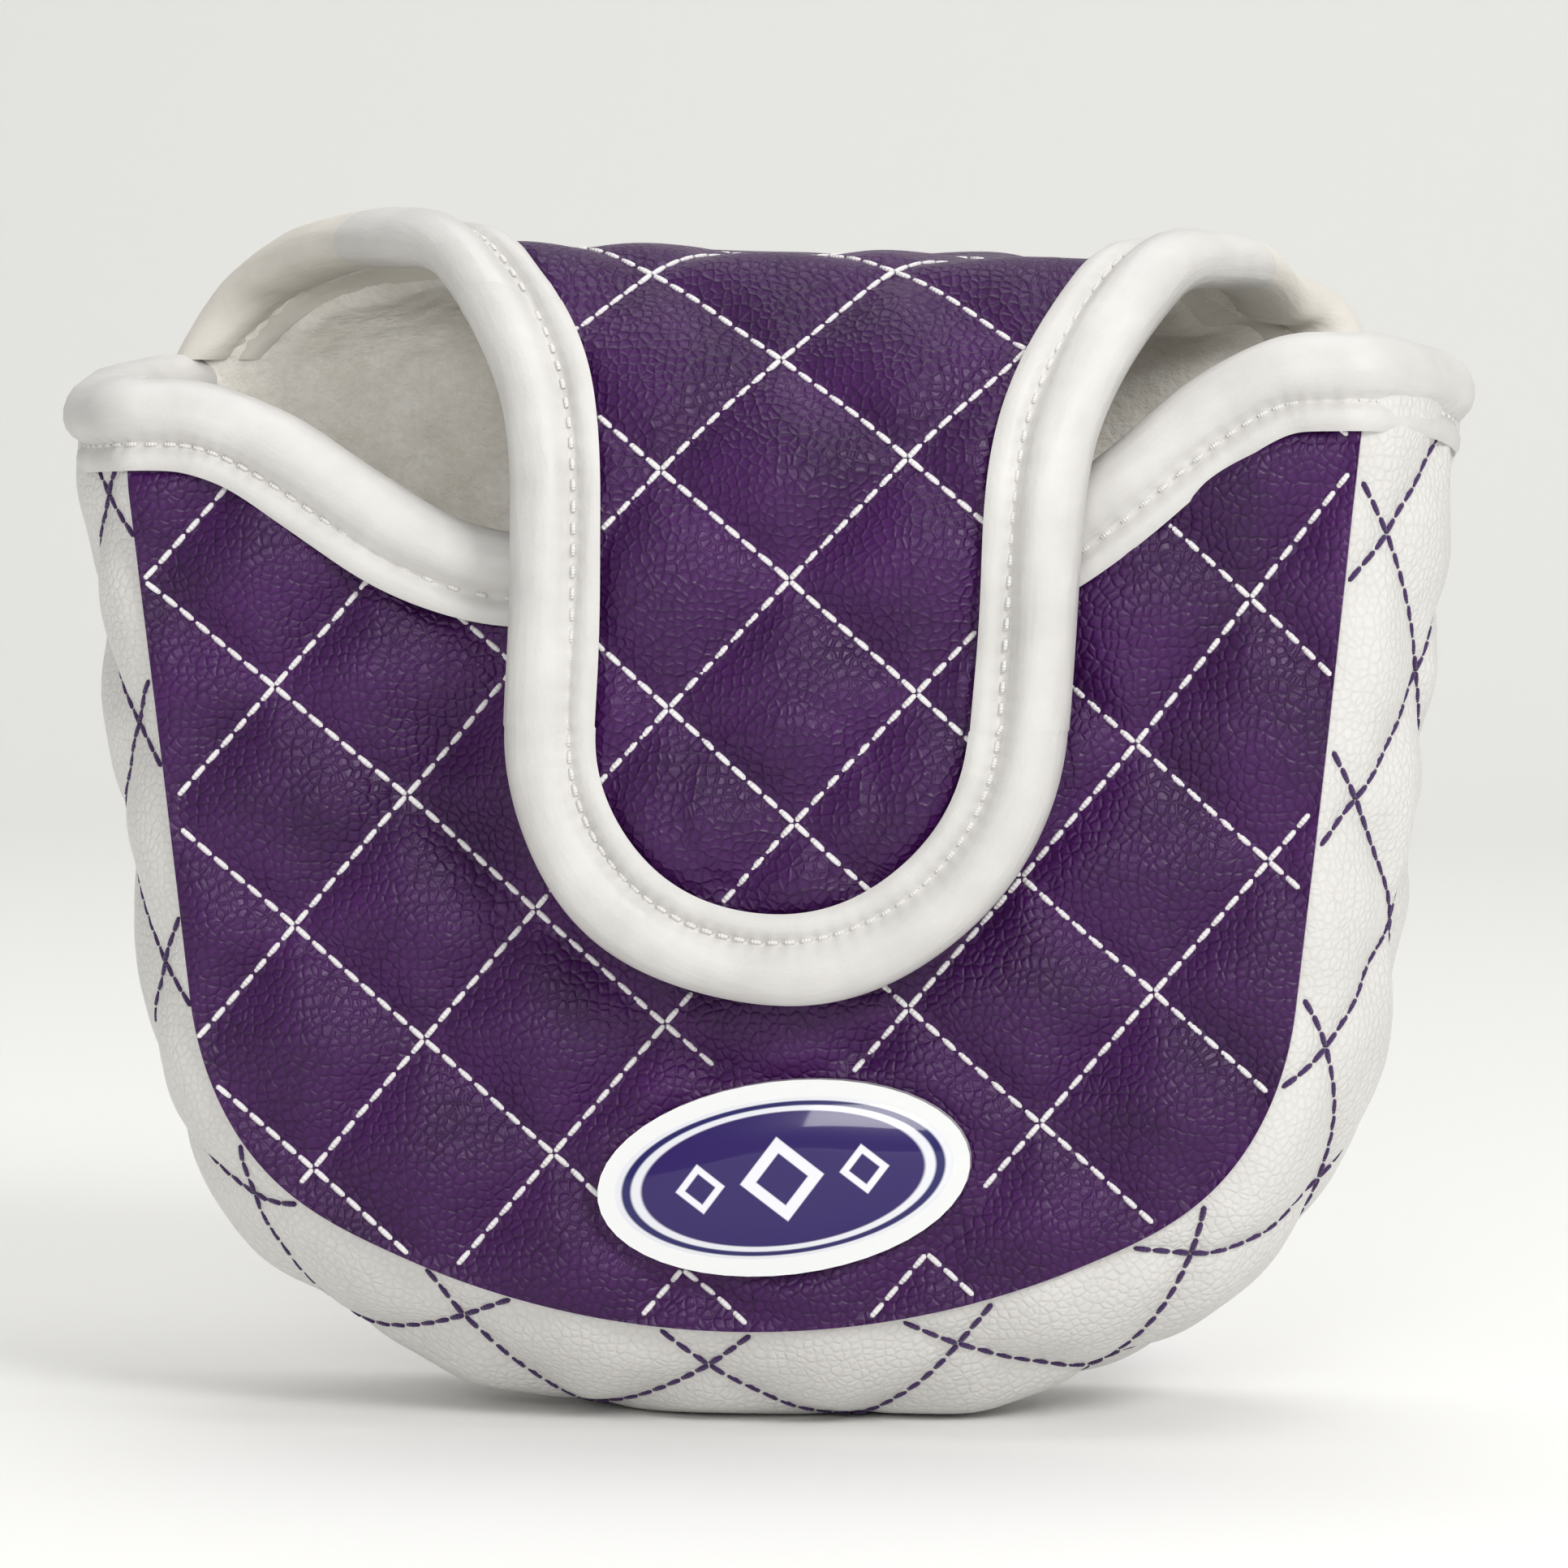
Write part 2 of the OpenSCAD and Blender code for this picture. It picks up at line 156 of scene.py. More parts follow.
def soft_box(name, place, size, watts, aim=(0, 0, 0.07)):
    """A rectangular light at a place, turned to face aim."""
    light = bpy.data.lights.new(name, "AREA")
    light.shape = "RECTANGLE"
    light.size, light.size_y = size
    light.energy = watts
    lamp = bpy.data.objects.new(name, light)
    lamp.location = place
    lamp.rotation_euler = (Vector(aim) - Vector(place)).to_track_quat("-Z", "Y").to_euler()
    bpy.context.scene.collection.objects.link(lamp)


soft_box("right_soft_box", (0.85, -1.05, 0.85), (0.40, 0.40), 11.5)
soft_box("front_soft_box", (0.0, -1.35, 0.42), (0.35, 0.35), 4.0)
soft_box("overhead_soft_box", (0.1, 0.1, 1.1), (1.2, 0.6), 4.6)
world = bpy.data.worlds.new("studio")
world.use_nodes = True
sky = world.node_tree
upward = node(sky, "SeparateXYZ", Vector=node(sky, "TexCoord").outputs["Generated"]).outputs["Z"]
strength = node(sky, "MapRange", Value=upward, From_Min=-0.2, From_Max=0.9, To_Min=0.33, To_Max=0.62)
background = sky.nodes["Background"]
background.inputs["Color"].default_value = linear("fbfaf8")
sky.links.new(strength.outputs["Result"], background.inputs["Strength"])
bpy.context.scene.world = world

# ---------------------------------------------------------------- Front panel
# Purple pebbled leatherette over foam, quilted through in diamonds with white
# thread. Its lower edge is sewn to the gusset and its top edge is bound.

half_depth = 22.0 * MM
shoulder = 111.0 * MM             # height of the gusset's top edge
half_width = 65.0 * MM            # at that height
bottom_radius, corner_radius = 90.0 * MM, 39.0 * MM
flare = radians(6.5)              # outward lean of the sides
bulge = 8.5 * MM                  # gusset past the seams
foot_lift = 1.5 * MM              # taken off where the gusset is pressed flat
bottom_centre = bulge - foot_lift + bottom_radius

# The seam's corner arc touches the bottom arc and the leaning side.
corner_offset = (half_width * cos(flare) - shoulder * sin(flare) - corner_radius) / cos(flare)
half_b = corner_offset * tan(flare) - bottom_centre
square_term = corner_offset ** 2 + bottom_centre ** 2 - (bottom_radius - corner_radius) ** 2
corner_z = (-half_b - sqrt(half_b ** 2 - (1 + tan(flare) ** 2) * square_term)) / (1 + tan(flare) ** 2)
corner_x = corner_offset + tan(flare) * corner_z
turn_bottom = atan2(corner_x, bottom_centre - corner_z)
turn_side = pi / 2 - flare
seam_bottom_end = bottom_radius * turn_bottom
seam_corner_end = seam_bottom_end + corner_radius * (turn_side - turn_bottom)
seam_end = seam_corner_end + (shoulder - corner_z + corner_radius * cos(turn_side)) / cos(flare)


def seam_point(s, out=0.0):
    """x and z at length s along the seam from its lowest point, out past it. The heading turns evenly
    round the bottom arc, then faster round the corner arc, then stays at the side's lean."""
    side, length = np.sign(s), np.abs(s)
    on_bottom = np.minimum(length, seam_bottom_end)
    on_corner = np.clip(length - seam_bottom_end, 0, seam_corner_end - seam_bottom_end)
    on_side = np.maximum(length - seam_corner_end, 0)
    heading = on_bottom / bottom_radius + on_corner / corner_radius
    in_corner = length > seam_bottom_end
    x = np.where(in_corner, corner_x + corner_radius * np.sin(heading), bottom_radius * np.sin(heading))
    z = np.where(in_corner, corner_z - corner_radius * np.cos(heading),
                 bottom_centre - bottom_radius * np.cos(heading))
    x = x + on_side * np.cos(heading) + out * np.sin(heading)
    z = z + on_side * np.sin(heading) - out * np.cos(heading)
    return side * x, z


def ease(t):
    """Smooth step from 0 to 1: half a cosine."""
    return (1 - np.cos(pi * np.clip(t, 0, 1))) / 2


binding_width = 9.4 * MM
mouth_drop = 17.5 * MM
dip_half, dip_end = 22 * MM, half_width - 6 * MM


def mouth_height(x):
    """Height of the front panel's top edge: level, then half a cosine up to the corners."""
    return shoulder - mouth_drop * (1 - ease((np.abs(x) - dip_half) / (dip_end - dip_half)))


def settle(points):
    """The pocket's slight lopsidedness: its right front corner stands higher than its left one, and the
    top of its back leans to the left."""
    x, y, z = points[..., 0], points[..., 1], points[..., 2]
    up = ease((z - 62 * MM) / (48 * MM)) * ease((14 * MM - y) / (34 * MM))
    lift = 3.2 * MM * ease((x - 12 * MM) / (46 * MM)) - 1.8 * MM * ease((-x - 12 * MM) / (46 * MM))
    aside = 2.2 * MM * ease((z - 86 * MM) / (25 * MM)) * ease((y + 6 * MM) / (28 * MM))
    return np.stack([x - aside, y, z + up * lift], axis=-1)


diamond = 25.4 * MM               # corner to corner
line_pitch = diamond / sqrt(2)    # between parallel lines of stitches
stitch_pitch = 2.24 * MM


def line_coordinates(a, b, origin, turn):
    """Coordinates across the two families of lines, counted in lines."""
    angle = pi / 4 + turn
    across, along = a - origin[0], b - origin[1]
    return ((across * cos(angle) + along * sin(angle)) / line_pitch,
            (-across * sin(angle) + along * cos(angle)) / line_pitch)


def sewn_cloth(pads=4, across=28, frames=25):
    """Relief of quilted cloth over a square of 4 by 4 pads, as heights on a grid, 1 at the highest. A flat
    cloth, a tenth too large for its place, is held along its lines of stitches and blown up by the foam
    under it, so it crowns between the lines and puckers along them."""
    count = pads * across + 1
    side = np.arange(count) / across
    b, a = np.meshgrid(side, side, indexing="ij")
    dither = 0.002 * np.random.default_rng(5).standard_normal(a.shape)
    mesh = bpy.data.meshes.new("quilting_trial")
    mesh.from_pydata(np.stack([a, b, dither], axis=-1).reshape(-1, 3), [], grid_faces(count, count))
    cloth = bpy.data.objects.new("quilting_trial", mesh)
    bpy.context.scene.collection.objects.link(cloth)
    on_line = np.arange(count) % across == 0
    sewn = cloth.vertex_groups.new(name="sewn")
    sewn.add(np.flatnonzero(on_line[None, :] | on_line[:, None]).tolist(), 1.0, "REPLACE")
    modifier = cloth.modifiers.new("foam", "CLOTH")
    settings = modifier.settings
    settings.vertex_group_mass = "sewn"
    settings.quality = 6
    settings.bending_stiffness = 0.4
    settings.use_pressure = True
    settings.uniform_pressure_force = 12
    settings.shrink_min = -0.10
    settings.effector_weights.gravity = 0
    modifier.collision_settings.use_collision = False
    modifier.point_cache.frame_start, modifier.point_cache.frame_end = 1, frames
    for step in range(1, frames + 1):
        bpy.context.scene.frame_set(step)
    blown = cloth.evaluated_get(bpy.context.evaluated_depsgraph_get()).to_mesh()
    points = np.empty(3 * count * count, dtype=np.float32)
    blown.vertices.foreach_get("co", points)
    bpy.context.scene.frame_set(1)
    bpy.data.objects.remove(cloth)
    bpy.data.meshes.remove(mesh)
    relief = np.maximum(points.reshape(count, count, 3)[..., 2], 0)
    relief[on_line, :] = 0
    relief[:, on_line] = 0
    return relief / relief.max()


pad_side = 4     # pads along the simulated square
pad_relief = sewn_cloth()


def quilt_height(a, b, origin, turn, rise=2.5 * MM):
    """Height of a quilted pad above its lines of stitches: the simulated square, repeated over both
    families of lines and read between its four nearest grid points. Short puckers one stitch apart run
    out from each line."""
    lines = line_coordinates(a, b, origin, turn)
    across = (len(pad_relief) - 1) // pad_side
    first, second = (np.mod(line, pad_side) * across for line in lines)
    i, j = (np.minimum(np.floor(line).astype(int), len(pad_relief) - 2) for line in (first, second))
    p, q = first - i, second - j
    height = ((1 - p) * ((1 - q) * pad_relief[i, j] + q * pad_relief[i, j + 1])
              + p * ((1 - q) * pad_relief[i + 1, j] + q * pad_relief[i + 1, j + 1]))
    pucker = 0.0
    for this, other in (lines, lines[::-1]):
        off = np.abs(this - np.round(this)) * line_pitch
        pucker = pucker + np.exp(-off / (1.1 * MM)) * np.cos(2 * pi * other * line_pitch / stitch_pitch)
    return rise * height + 0.06 * MM * pucker


def unevenness(a, b, seed, size=11 * MM):
    """A gentle random swell: a sum of eight plane waves of about that size."""
    rng = np.random.default_rng(seed)
    total = 0.0
    for _ in range(8):
        angle, phase = rng.uniform(0, 2 * pi, 2)
        wave = 2 * pi / (size * rng.uniform(0.7, 2.2))
        total = total + np.sin(wave * (a * cos(angle) + b * sin(angle)) + phase) / 8
    return total


front_origin, front_turn = (-7.7 * MM, 43.0 * MM), radians(4.4)
badge_x, badge_z, badge_tilt = 5.0 * MM, 27.5 * MM, radians(8)
badge_length, badge_height = 39.0 * MM, 20.0 * MM


def inside_seam(x, z):
    """Distance in from the seam: from its corner arc within that arc's sector, else from the nearer of its
    leaning side and its bottom arc."""
    right, up = np.abs(x) - corner_x, z - corner_z
    angle = np.arctan2(right, -up)
    to_line = np.minimum(corner_radius - right * cos(flare) + up * sin(flare),
                         bottom_radius - np.hypot(x, z - bottom_centre))
    return np.where((angle > turn_bottom) & (angle < turn_side), corner_radius - np.hypot(right, up), to_line)


def hem_lift(x):
    """The gusset's foam rolls up in front of the panel's hem by this much, less towards the corners."""
    return 4.2 * MM * ease((60 * MM - np.abs(x)) / (26 * MM))


magnet_x, magnet_z = 5.0 * MM, 67.0 * MM


def over_magnet(across, up):
    """A low round swelling where the cloth passes over a magnet 15 mm across."""
    return 0.75 * MM * ease((10.5 * MM - np.hypot(across, up)) / (2.5 * MM))


def front_swell(x, z):
    """How far the front panel stands in front of its seam plane: the quilting, flattened at the rim and
    under the badge, a shallow upright trough left of the middle where the wall gives, and a random swell."""
    rim = 1 - np.exp(-np.maximum(inside_seam(x, z - hem_lift(x)), 0) / (2.2 * MM))
    trough = (2.0 * MM * np.exp(-((x + 31 * MM + 0.1 * (z - 70 * MM)) / (7 * MM)) ** 2)
              * ease((z - 42 * MM) / (30 * MM)) * ease((102 * MM - z) / (16 * MM)))
    along = (x - badge_x) * cos(badge_tilt) + (z - badge_z) * sin(badge_tilt)
    across = (z - badge_z) * cos(badge_tilt) - (x - badge_x) * sin(badge_tilt)
    clear = ease((np.hypot(2 * along / badge_length, 2 * across / badge_height) - 0.98) / 0.28)
    padded = rim * (quilt_height(x, z, front_origin, front_turn) + 0.9 * MM * unevenness(x, z, 3) - 1.3 * MM)
    free = ease((mouth_height(x) - z - binding_width + 1.5 * MM) / (4 * MM))
    padded = free * padded - (1 - free) * 0.9 * MM + over_magnet(x - magnet_x, z - magnet_z)
    return clear * (padded - trough) - (1 - clear) * 0.15 * MM


def patch(bottom, top, left, right):
    """Fills a four-sided outline: the lines from bottom to top plus those from left to right, less the
    plane through the corners."""
    t = np.linspace(0, 1, len(left))[:, None, None]
    u = np.linspace(0, 1, len(bottom))[None, :, None]
    corners = (1 - t) * ((1 - u) * bottom[0] + u * bottom[-1]) + t * ((1 - u) * top[0] + u * top[-1])
    return (1 - t) * bottom[None] + t * top[None] + (1 - u) * left[:, None] + u * right[:, None] - corners


def slab(name, outer, inner, material, uv, extra=None):
    """A closed skin: an outer and an inner grid of points, joined round their rims."""
    rows, columns = outer.shape[:2]
    count = rows * columns
    index = np.arange(count).reshape(rows, columns)
    loop = np.concatenate([index[0, :], index[1:, -1], index[-1, -2::-1], index[-2:0:-1, 0]])
    after = np.roll(loop, -1)
    rim = np.stack([loop, loop + count, after + count, after], axis=-1)
    faces = np.concatenate([grid_faces(rows, columns), grid_faces(rows, columns, count)[:, ::-1], rim])
    points = np.concatenate([outer.reshape(-1, 3), inner.reshape(-1, 3)])
    ring = np.zeros(2 * count, dtype=np.int32)
    ring[loop] = 1
    ring[loop + count] = 2
    both = {key: np.concatenate([value.ravel()] * 2) for key, value in (extra or {}).items()}
    return as_mesh(name, points, faces, material, np.concatenate([uv.reshape(-1, 2)] * 2), ring, both)


cloth_sheet = 0.2                 # side of the uncut sheet that the cloth's UV map covers
to_mm = (cloth_sheet / MM,) * 3   # turns that UV map into millimetres


def leatherette(name, colour, light_colour, grain_depth, sheen):
    """Polyurethane-coated fabric embossed with a pebbled grain of about 1 mm: low domes with
    thin valleys round them, fine pores, and a satin coating that catches the light."""
    material, tree, shader = finish_named(name)
    place = node(tree, "UVMap", {"uv_map": "cloth"}).outputs["UV"]
    in_mm = node(tree, "Mapping", Vector=place, Scale=to_mm).outputs["Vector"]
    warp = node(tree, "TexNoise", Vector=in_mm, Scale=0.45, Detail=3.0)
    bent = node(tree, "VectorMath", {"operation": "MULTIPLY_ADD"}, i0=warp.outputs["Color"], i1=(0.9, 0.9, 0),
                i2=in_mm).outputs["Vector"]
    cells = node(tree, "TexVoronoi", {"feature": "F1", "voronoi_dimensions": "2D"}, Vector=bent, Scale=1.0,
                 Randomness=0.85).outputs["Distance"]
    dome = node(tree, "Math", {"operation": "POWER"}, i0=cells, i1=2.0).outputs["Value"]
    edge = node(tree, "TexVoronoi", {"feature": "DISTANCE_TO_EDGE", "voronoi_dimensions": "2D"}, Vector=bent,
                Scale=1.0, Randomness=0.85).outputs["Distance"]
    valley = node(tree, "MapRange", {"interpolation_type": "SMOOTHSTEP"}, Value=edge, From_Max=0.3,
                  To_Max=0.6)
    pebble = node(tree, "Math", {"operation": "MULTIPLY_ADD"}, i0=dome, i1=-0.7, i2=valley.outputs["Result"])
    fine = node(tree, "TexNoise", Vector=in_mm, Scale=2.6, Detail=4.0, Roughness=0.6)
    broad = node(tree, "TexNoise", Vector=in_mm, Scale=0.07, Detail=3.0)
    tone = node(tree, "MapRange", Value=broad.outputs["Fac"], From_Min=0.3, From_Max=0.7, To_Min=0.0,
                To_Max=0.45)
    # The colour is darker in the grain's valleys and lighter on its domes: painted shade and painted
    # highlight, over a broad random tone.
    tone_and_grain_shade = node(tree, "Math", {"operation": "MULTIPLY_ADD"}, i0=pebble.outputs["Value"], i1=0.25,
                i2=tone.outputs["Result"])
    mixed = node(tree, "Mix", {"data_type": "RGBA"}, i0=tone_and_grain_shade.outputs["Value"], i6=linear(colour),
                 i7=linear(light_colour))
    tree.links.new(mixed.outputs[2], shader.inputs["Base Color"])
    rough = node(tree, "MapRange", Value=fine.outputs["Fac"], From_Min=0.3, From_Max=0.7, To_Min=0.33,
                 To_Max=0.46)
    tree.links.new(rough.outputs["Result"], shader.inputs["Roughness"])
    height = node(tree, "Math", {"operation": "MULTIPLY_ADD"}, i0=fine.outputs["Fac"], i1=0.2,
                  i2=pebble.outputs["Value"])
    bump = node(tree, "Bump", Strength=grain_depth, Distance=0.15 * MM, Height=height.outputs["Value"])
    tree.links.new(bump.outputs["Normal"], shader.inputs["Normal"])
    shader.inputs["Specular IOR Level"].default_value = 0.3
    shader.inputs["Sheen Weight"].default_value = sheen
    shader.inputs["Sheen Roughness"].default_value = 0.45
    return material


purple_leatherette = leatherette("purple_pebbled_leatherette", "2b0739", "4f1a62", 0.9, 0.0)


def on_cloth(a, b):
    """UV pair of a point of the uncut cloth, a and b metres from its middle."""
    return np.stack(np.broadcast_arrays(a / cloth_sheet + 0.5, b / cloth_sheet + 0.5), axis=-1)


seam_turn = (seam_bottom_end + seam_corner_end) / 2      # the patch's lower corners, midway round the seam's


tape_cover = 1.4 * MM             # how far under the binding's edge the cloth ends


def front_patch(columns, rows):
    """x and z over the front panel, between its seam and its mouth edge."""
    low_side = np.stack(seam_point(np.linspace(-seam_turn, seam_turn, columns)), axis=-1)
    right = np.stack(seam_point(np.linspace(seam_turn, seam_end - tape_cover, rows)), axis=-1)
    low_side[:, 1] += hem_lift(low_side[:, 0])
    right[:, 1] += hem_lift(right[:, 0])
    edge = np.linspace(-1, 1, columns) * right[-1, 0]
    top = np.stack([edge, mouth_height(edge) - tape_cover], axis=-1)
    filled = patch(low_side, top, right * (-1, 1), right)
    return filled[..., 0], filled[..., 1]


cover_t, foam_t, lining_t = 1.0 * MM, 3.0 * MM, 1.8 * MM
pad_t = cover_t + foam_t


def front_surface(x, z, out=0.0):
    """A point of the front panel's face, and past it by out."""
    return settle(np.stack([x, -half_depth - front_swell(x, z) - out, z], axis=-1))


def soft_piece(piece, body, replaced):
    """Attaches a padded piece to the body it rides on when that is named, else sets its place as it stands,
    and hides the parts it stands for.
    """
    if isinstance(body, str):
        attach(piece, body)
    else:
        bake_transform(piece)
    if replaced:
        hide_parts(*replaced)


x, z = front_patch(210, 150)
front_inner = settle(np.stack([x, np.full_like(x, pad_t - half_depth), z], axis=-1))
front_pad = slab("front_quilted_panel", front_surface(x, z), front_inner, purple_leatherette, on_cloth(x, z))
soft_piece(front_pad, "root", ["front_cover", "front_padding"])


def thread(name, colour, needle_hole_shade_colour):
    """Spun polyester sewing thread: matt and faintly hairy, with painted shade at each stitch's ends,
    where it dives into its needle hole."""
    material, tree, shader = finish_named(name)
    along = node(tree, "Attribute", {"attribute_name": "along"}).outputs["Fac"]
    dive = node(tree, "MapRange", {"interpolation_type": "SMOOTHSTEP"},
                Value=node(tree, "Math", {"operation": "ABSOLUTE"}, i0=along).outputs["Value"],
                From_Min=0.86, From_Max=1.05)
    # Painted shade: the colour darkens towards each end of a stitch, where it dives into its needle hole.
    mixed = node(tree, "Mix", {"data_type": "RGBA"}, i0=dive.outputs["Result"], i6=linear(colour),
                 i7=linear(needle_hole_shade_colour))
    tree.links.new(mixed.outputs[2], shader.inputs["Base Color"])
    ply = node(tree, "Math", {"operation": "SINE"},
               i0=node(tree, "Math", {"operation": "MULTIPLY"}, i0=along, i1=14.0).outputs["Value"])
    bump = node(tree, "Bump", Strength=0.5, Distance=0.08 * MM, Height=ply.outputs["Value"])
    tree.links.new(bump.outputs["Normal"], shader.inputs["Normal"])
    shader.inputs["Roughness"].default_value = 0.72
    shader.inputs["Specular IOR Level"].default_value = 0.3
    shader.inputs["Sheen Weight"].default_value = 0.15
    return material


# A stitch is a half blown-up cube of 24 faces, so it is full at its ends, closed and without poles.
cube_side = np.stack(np.meshgrid([-1, 0, 1], [-1, 0, 1], indexing="ij") + [np.ones((3, 3))], axis=-1)
cube_sides = np.concatenate([np.roll(cube_side, turn, axis=-1).reshape(-1, 3) for turn in range(3)]
                            + [np.roll(cube_side * (-1, 1, -1), turn, axis=-1).reshape(-1, 3)
                               for turn in range(3)])
cube_points, cube_order = np.unique(cube_sides.astype(int), axis=0, return_inverse=True)
cube_grid = np.concatenate([grid_faces(3, 3, 9 * side) for side in range(6)])
cube_faces = cube_order.reshape(-1)[cube_grid][:, ::-1]
grain_shape = cube_points / np.linalg.norm(cube_points, axis=1, keepdims=True) ** 0.6


def sew(name, surface, a, b, heading, size, material, flip=1, height=0.12 * MM):
    """Lays one stitch at each place (a, b) of a surface, turned by heading in the surface. size is its
    half length, half width and half thickness."""
    small = 0.3 * MM
    place = surface(a, b, height)
    forward = surface(a + small * np.cos(heading), b + small * np.sin(heading), height) - place
    aside = surface(a - small * np.sin(heading), b + small * np.cos(heading), height) - place
    forward = forward / np.linalg.norm(forward, axis=-1, keepdims=True)
    normal = np.cross(forward, aside)
    normal = normal / np.linalg.norm(normal, axis=-1, keepdims=True) * flip
    aside = np.cross(normal, forward)
    frames = np.stack([forward, aside, normal], axis=-2)
    points = place[:, None, :] + np.einsum("pk,nkc->npc", grain_shape * np.array(size), frames)
    faces = cube_faces[None] + (np.arange(len(place)) * len(grain_shape))[:, None, None]
    along = np.tile(grain_shape[:, 0], len(place))
    return as_mesh(name, points.reshape(-1, 3), faces.reshape(-1, 4), material, extra={"along": along})


def stitch_places(origin, turn, reach=8, pitch=stitch_pitch):
    """Every stitch of both families of lines: its two coordinates and its heading."""
    line = np.arange(-reach, reach + 1) * line_pitch
    count = int(reach * line_pitch / pitch)
    along = (np.arange(-count, count) + 0.5) * pitch
    across, along = (grid.ravel() for grid in np.meshgrid(line, along))
    a, b, heading = [], [], []
    for angle in (pi / 4 + turn, -pi / 4 + turn):
        a.append(origin[0] + along * cos(angle) - across * sin(angle))
        b.append(origin[1] + along * sin(angle) + across * cos(angle))
        heading.append(np.full_like(along, angle))
    return np.concatenate(a), np.concatenate(b), np.concatenate(heading)


white_stitch = (1.03 * MM, 0.31 * MM, 0.27 * MM)
# The second colour is the painted shade at each stitch's ends.
white_thread = thread("white_polyester_thread", "e4e1e2", "8d8496")
a, b, heading = stitch_places(front_origin, front_turn)
badge_near = np.hypot((a - badge_x) / (badge_length / 2 + 0.6 * MM),
                      (b - badge_z) / (badge_height / 2 + 1.2 * MM))
kept = ((inside_seam(a, b - hem_lift(a)) > 0.5 * MM) & (badge_near > 1)
        & (b < mouth_height(a) - binding_width + 1.5 * MM))
front_stitches = sew("front_diamond_stitches", front_surface, a[kept], b[kept], heading[kept],
                     white_stitch, white_thread)
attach(front_stitches, "root")
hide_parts("front_quilting")

# Its plush lining, cut to the same outline and laid on the foam.


def plush(name, colour, pile_shade_colour):
    """Short-pile plush: a dense nap that scatters light at its edges, in small tufts and shallow hollows;
    painted shade darkens its colour where the tufts' bump is low, over a broad random tone.
    """
    material, tree, shader = finish_named(name)
    place = node(tree, "UVMap", {"uv_map": "cloth"}).outputs["UV"]
    in_mm = node(tree, "Mapping", Vector=place, Scale=to_mm).outputs["Vector"]
    tuft = node(tree, "TexNoise", Vector=in_mm, Scale=0.9, Detail=5.0, Roughness=0.65)
    hollow = node(tree, "TexNoise", Vector=in_mm, Scale=0.16, Detail=2.0)
    # Painted shade: the colour darkens where the tufts' bump height is low, times a broad random tone.
    mix_by = node(tree, "Math", {"operation": "MULTIPLY"}, i0=tuft.outputs["Fac"], i1=hollow.outputs["Fac"])
    pile_shade = node(tree, "MapRange", Value=mix_by.outputs["Value"], From_Min=0.13, From_Max=0.36)
    mixed = node(tree, "Mix", {"data_type": "RGBA"}, i0=pile_shade.outputs["Result"], i6=linear(pile_shade_colour),
                 i7=linear(colour))
    tree.links.new(mixed.outputs[2], shader.inputs["Base Color"])
    bump = node(tree, "Bump", Strength=0.8, Distance=0.5 * MM, Height=tuft.outputs["Fac"])
    tree.links.new(bump.outputs["Normal"], shader.inputs["Normal"])
    shader.inputs["Roughness"].default_value = 0.95
    shader.inputs["Specular IOR Level"].default_value = 0.1
    shader.inputs["Sheen Weight"].default_value = 0.45
    shader.inputs["Sheen Roughness"].default_value = 0.6
    return material


# The second colour is the painted shade in the pile's low points.
white_plush = plush("white_polyester_plush", "fbf8f2", "ece7dc")


def nap(a, b, seed):
    """Unevenness of the pile, up to about 0.4 mm."""
    return 0.3 * MM * unevenness(a, b, seed, 4 * MM) + 0.25 * MM * unevenness(a, b, seed + 1, 1.8 * MM)


x, z = front_patch(120, 90)
lining_face = settle(np.stack([x, -half_depth + pad_t + lining_t - nap(x, z, 11), z], axis=-1))
lining_back = settle(np.stack([x, np.full_like(x, -half_depth + pad_t), z], axis=-1))
front_plush = slab("front_plush_lining", lining_back, lining_face, white_plush, on_cloth(x, z))
soft_piece(front_plush, "root", ["front_lining"])

# ---------------------------------------------------------------- Gusset
# Off-white pebbled leatherette over foam, one long band round the bottom and
# sides, quilted with purple thread. It bulges between the two seams and is
# pressed flat where the cover stands.

gusset_radius = (half_depth ** 2 + bulge ** 2) / (2 * bulge)
gusset_middle = bulge - gusset_radius          # the section's centre, measured out from the seam
gusset_half = gusset_radius * asin(half_depth / gusset_radius)
gusset_turn = 0.0                 # its lines run evenly both ways across the band
gusset_origin = (-3.6 * MM, 17.8 * MM)


def gusset_place(s, w, out=0.0):
    """A point at length s along the seam and w across the band, w counted forwards from its middle. The
    band's section is an arc; below the floor's level it is pressed up by a smooth maximum, and its front
    part rises to the panel's hem."""
    turn = w / gusset_radius
    x, z = seam_point(s, gusset_middle + (gusset_radius + out) * np.cos(turn))
    pressed = (z + np.sqrt(z ** 2 + (0.9 * MM) ** 2)) / 2
    pressed = pressed + hem_lift(x) * ease((w / gusset_half - 0.15) / 0.85)
    return settle(np.stack([x, -(gusset_radius + out) * np.sin(turn), pressed], axis=-1))


def gusset_swell(s, w):
    """Its quilting, flattened towards both seams, over a random swell."""
    rim = 1 - np.exp(-np.maximum(gusset_half - np.abs(w), 0) / (2.4 * MM))
    pads = quilt_height(s, w, gusset_origin, gusset_turn, 1.7 * MM) + 0.6 * MM * unevenness(s, w, 5)
    return rim * (pads - 0.7 * MM) - (1 - rim) * 1.0 * MM


def gusset_surface(s, w, out=0.0):
    """A point of the gusset's quilted face, and past it by out."""
    return gusset_place(s, w, gusset_swell(s, w) + out)


def narrowed(w, depth):
    """w moved in so that a layer that deep stops at the panels' inner faces."""
    edge = asin((half_depth - min(depth, pad_t)) / (gusset_radius - depth)) * gusset_radius
    return w * edge / gusset_half


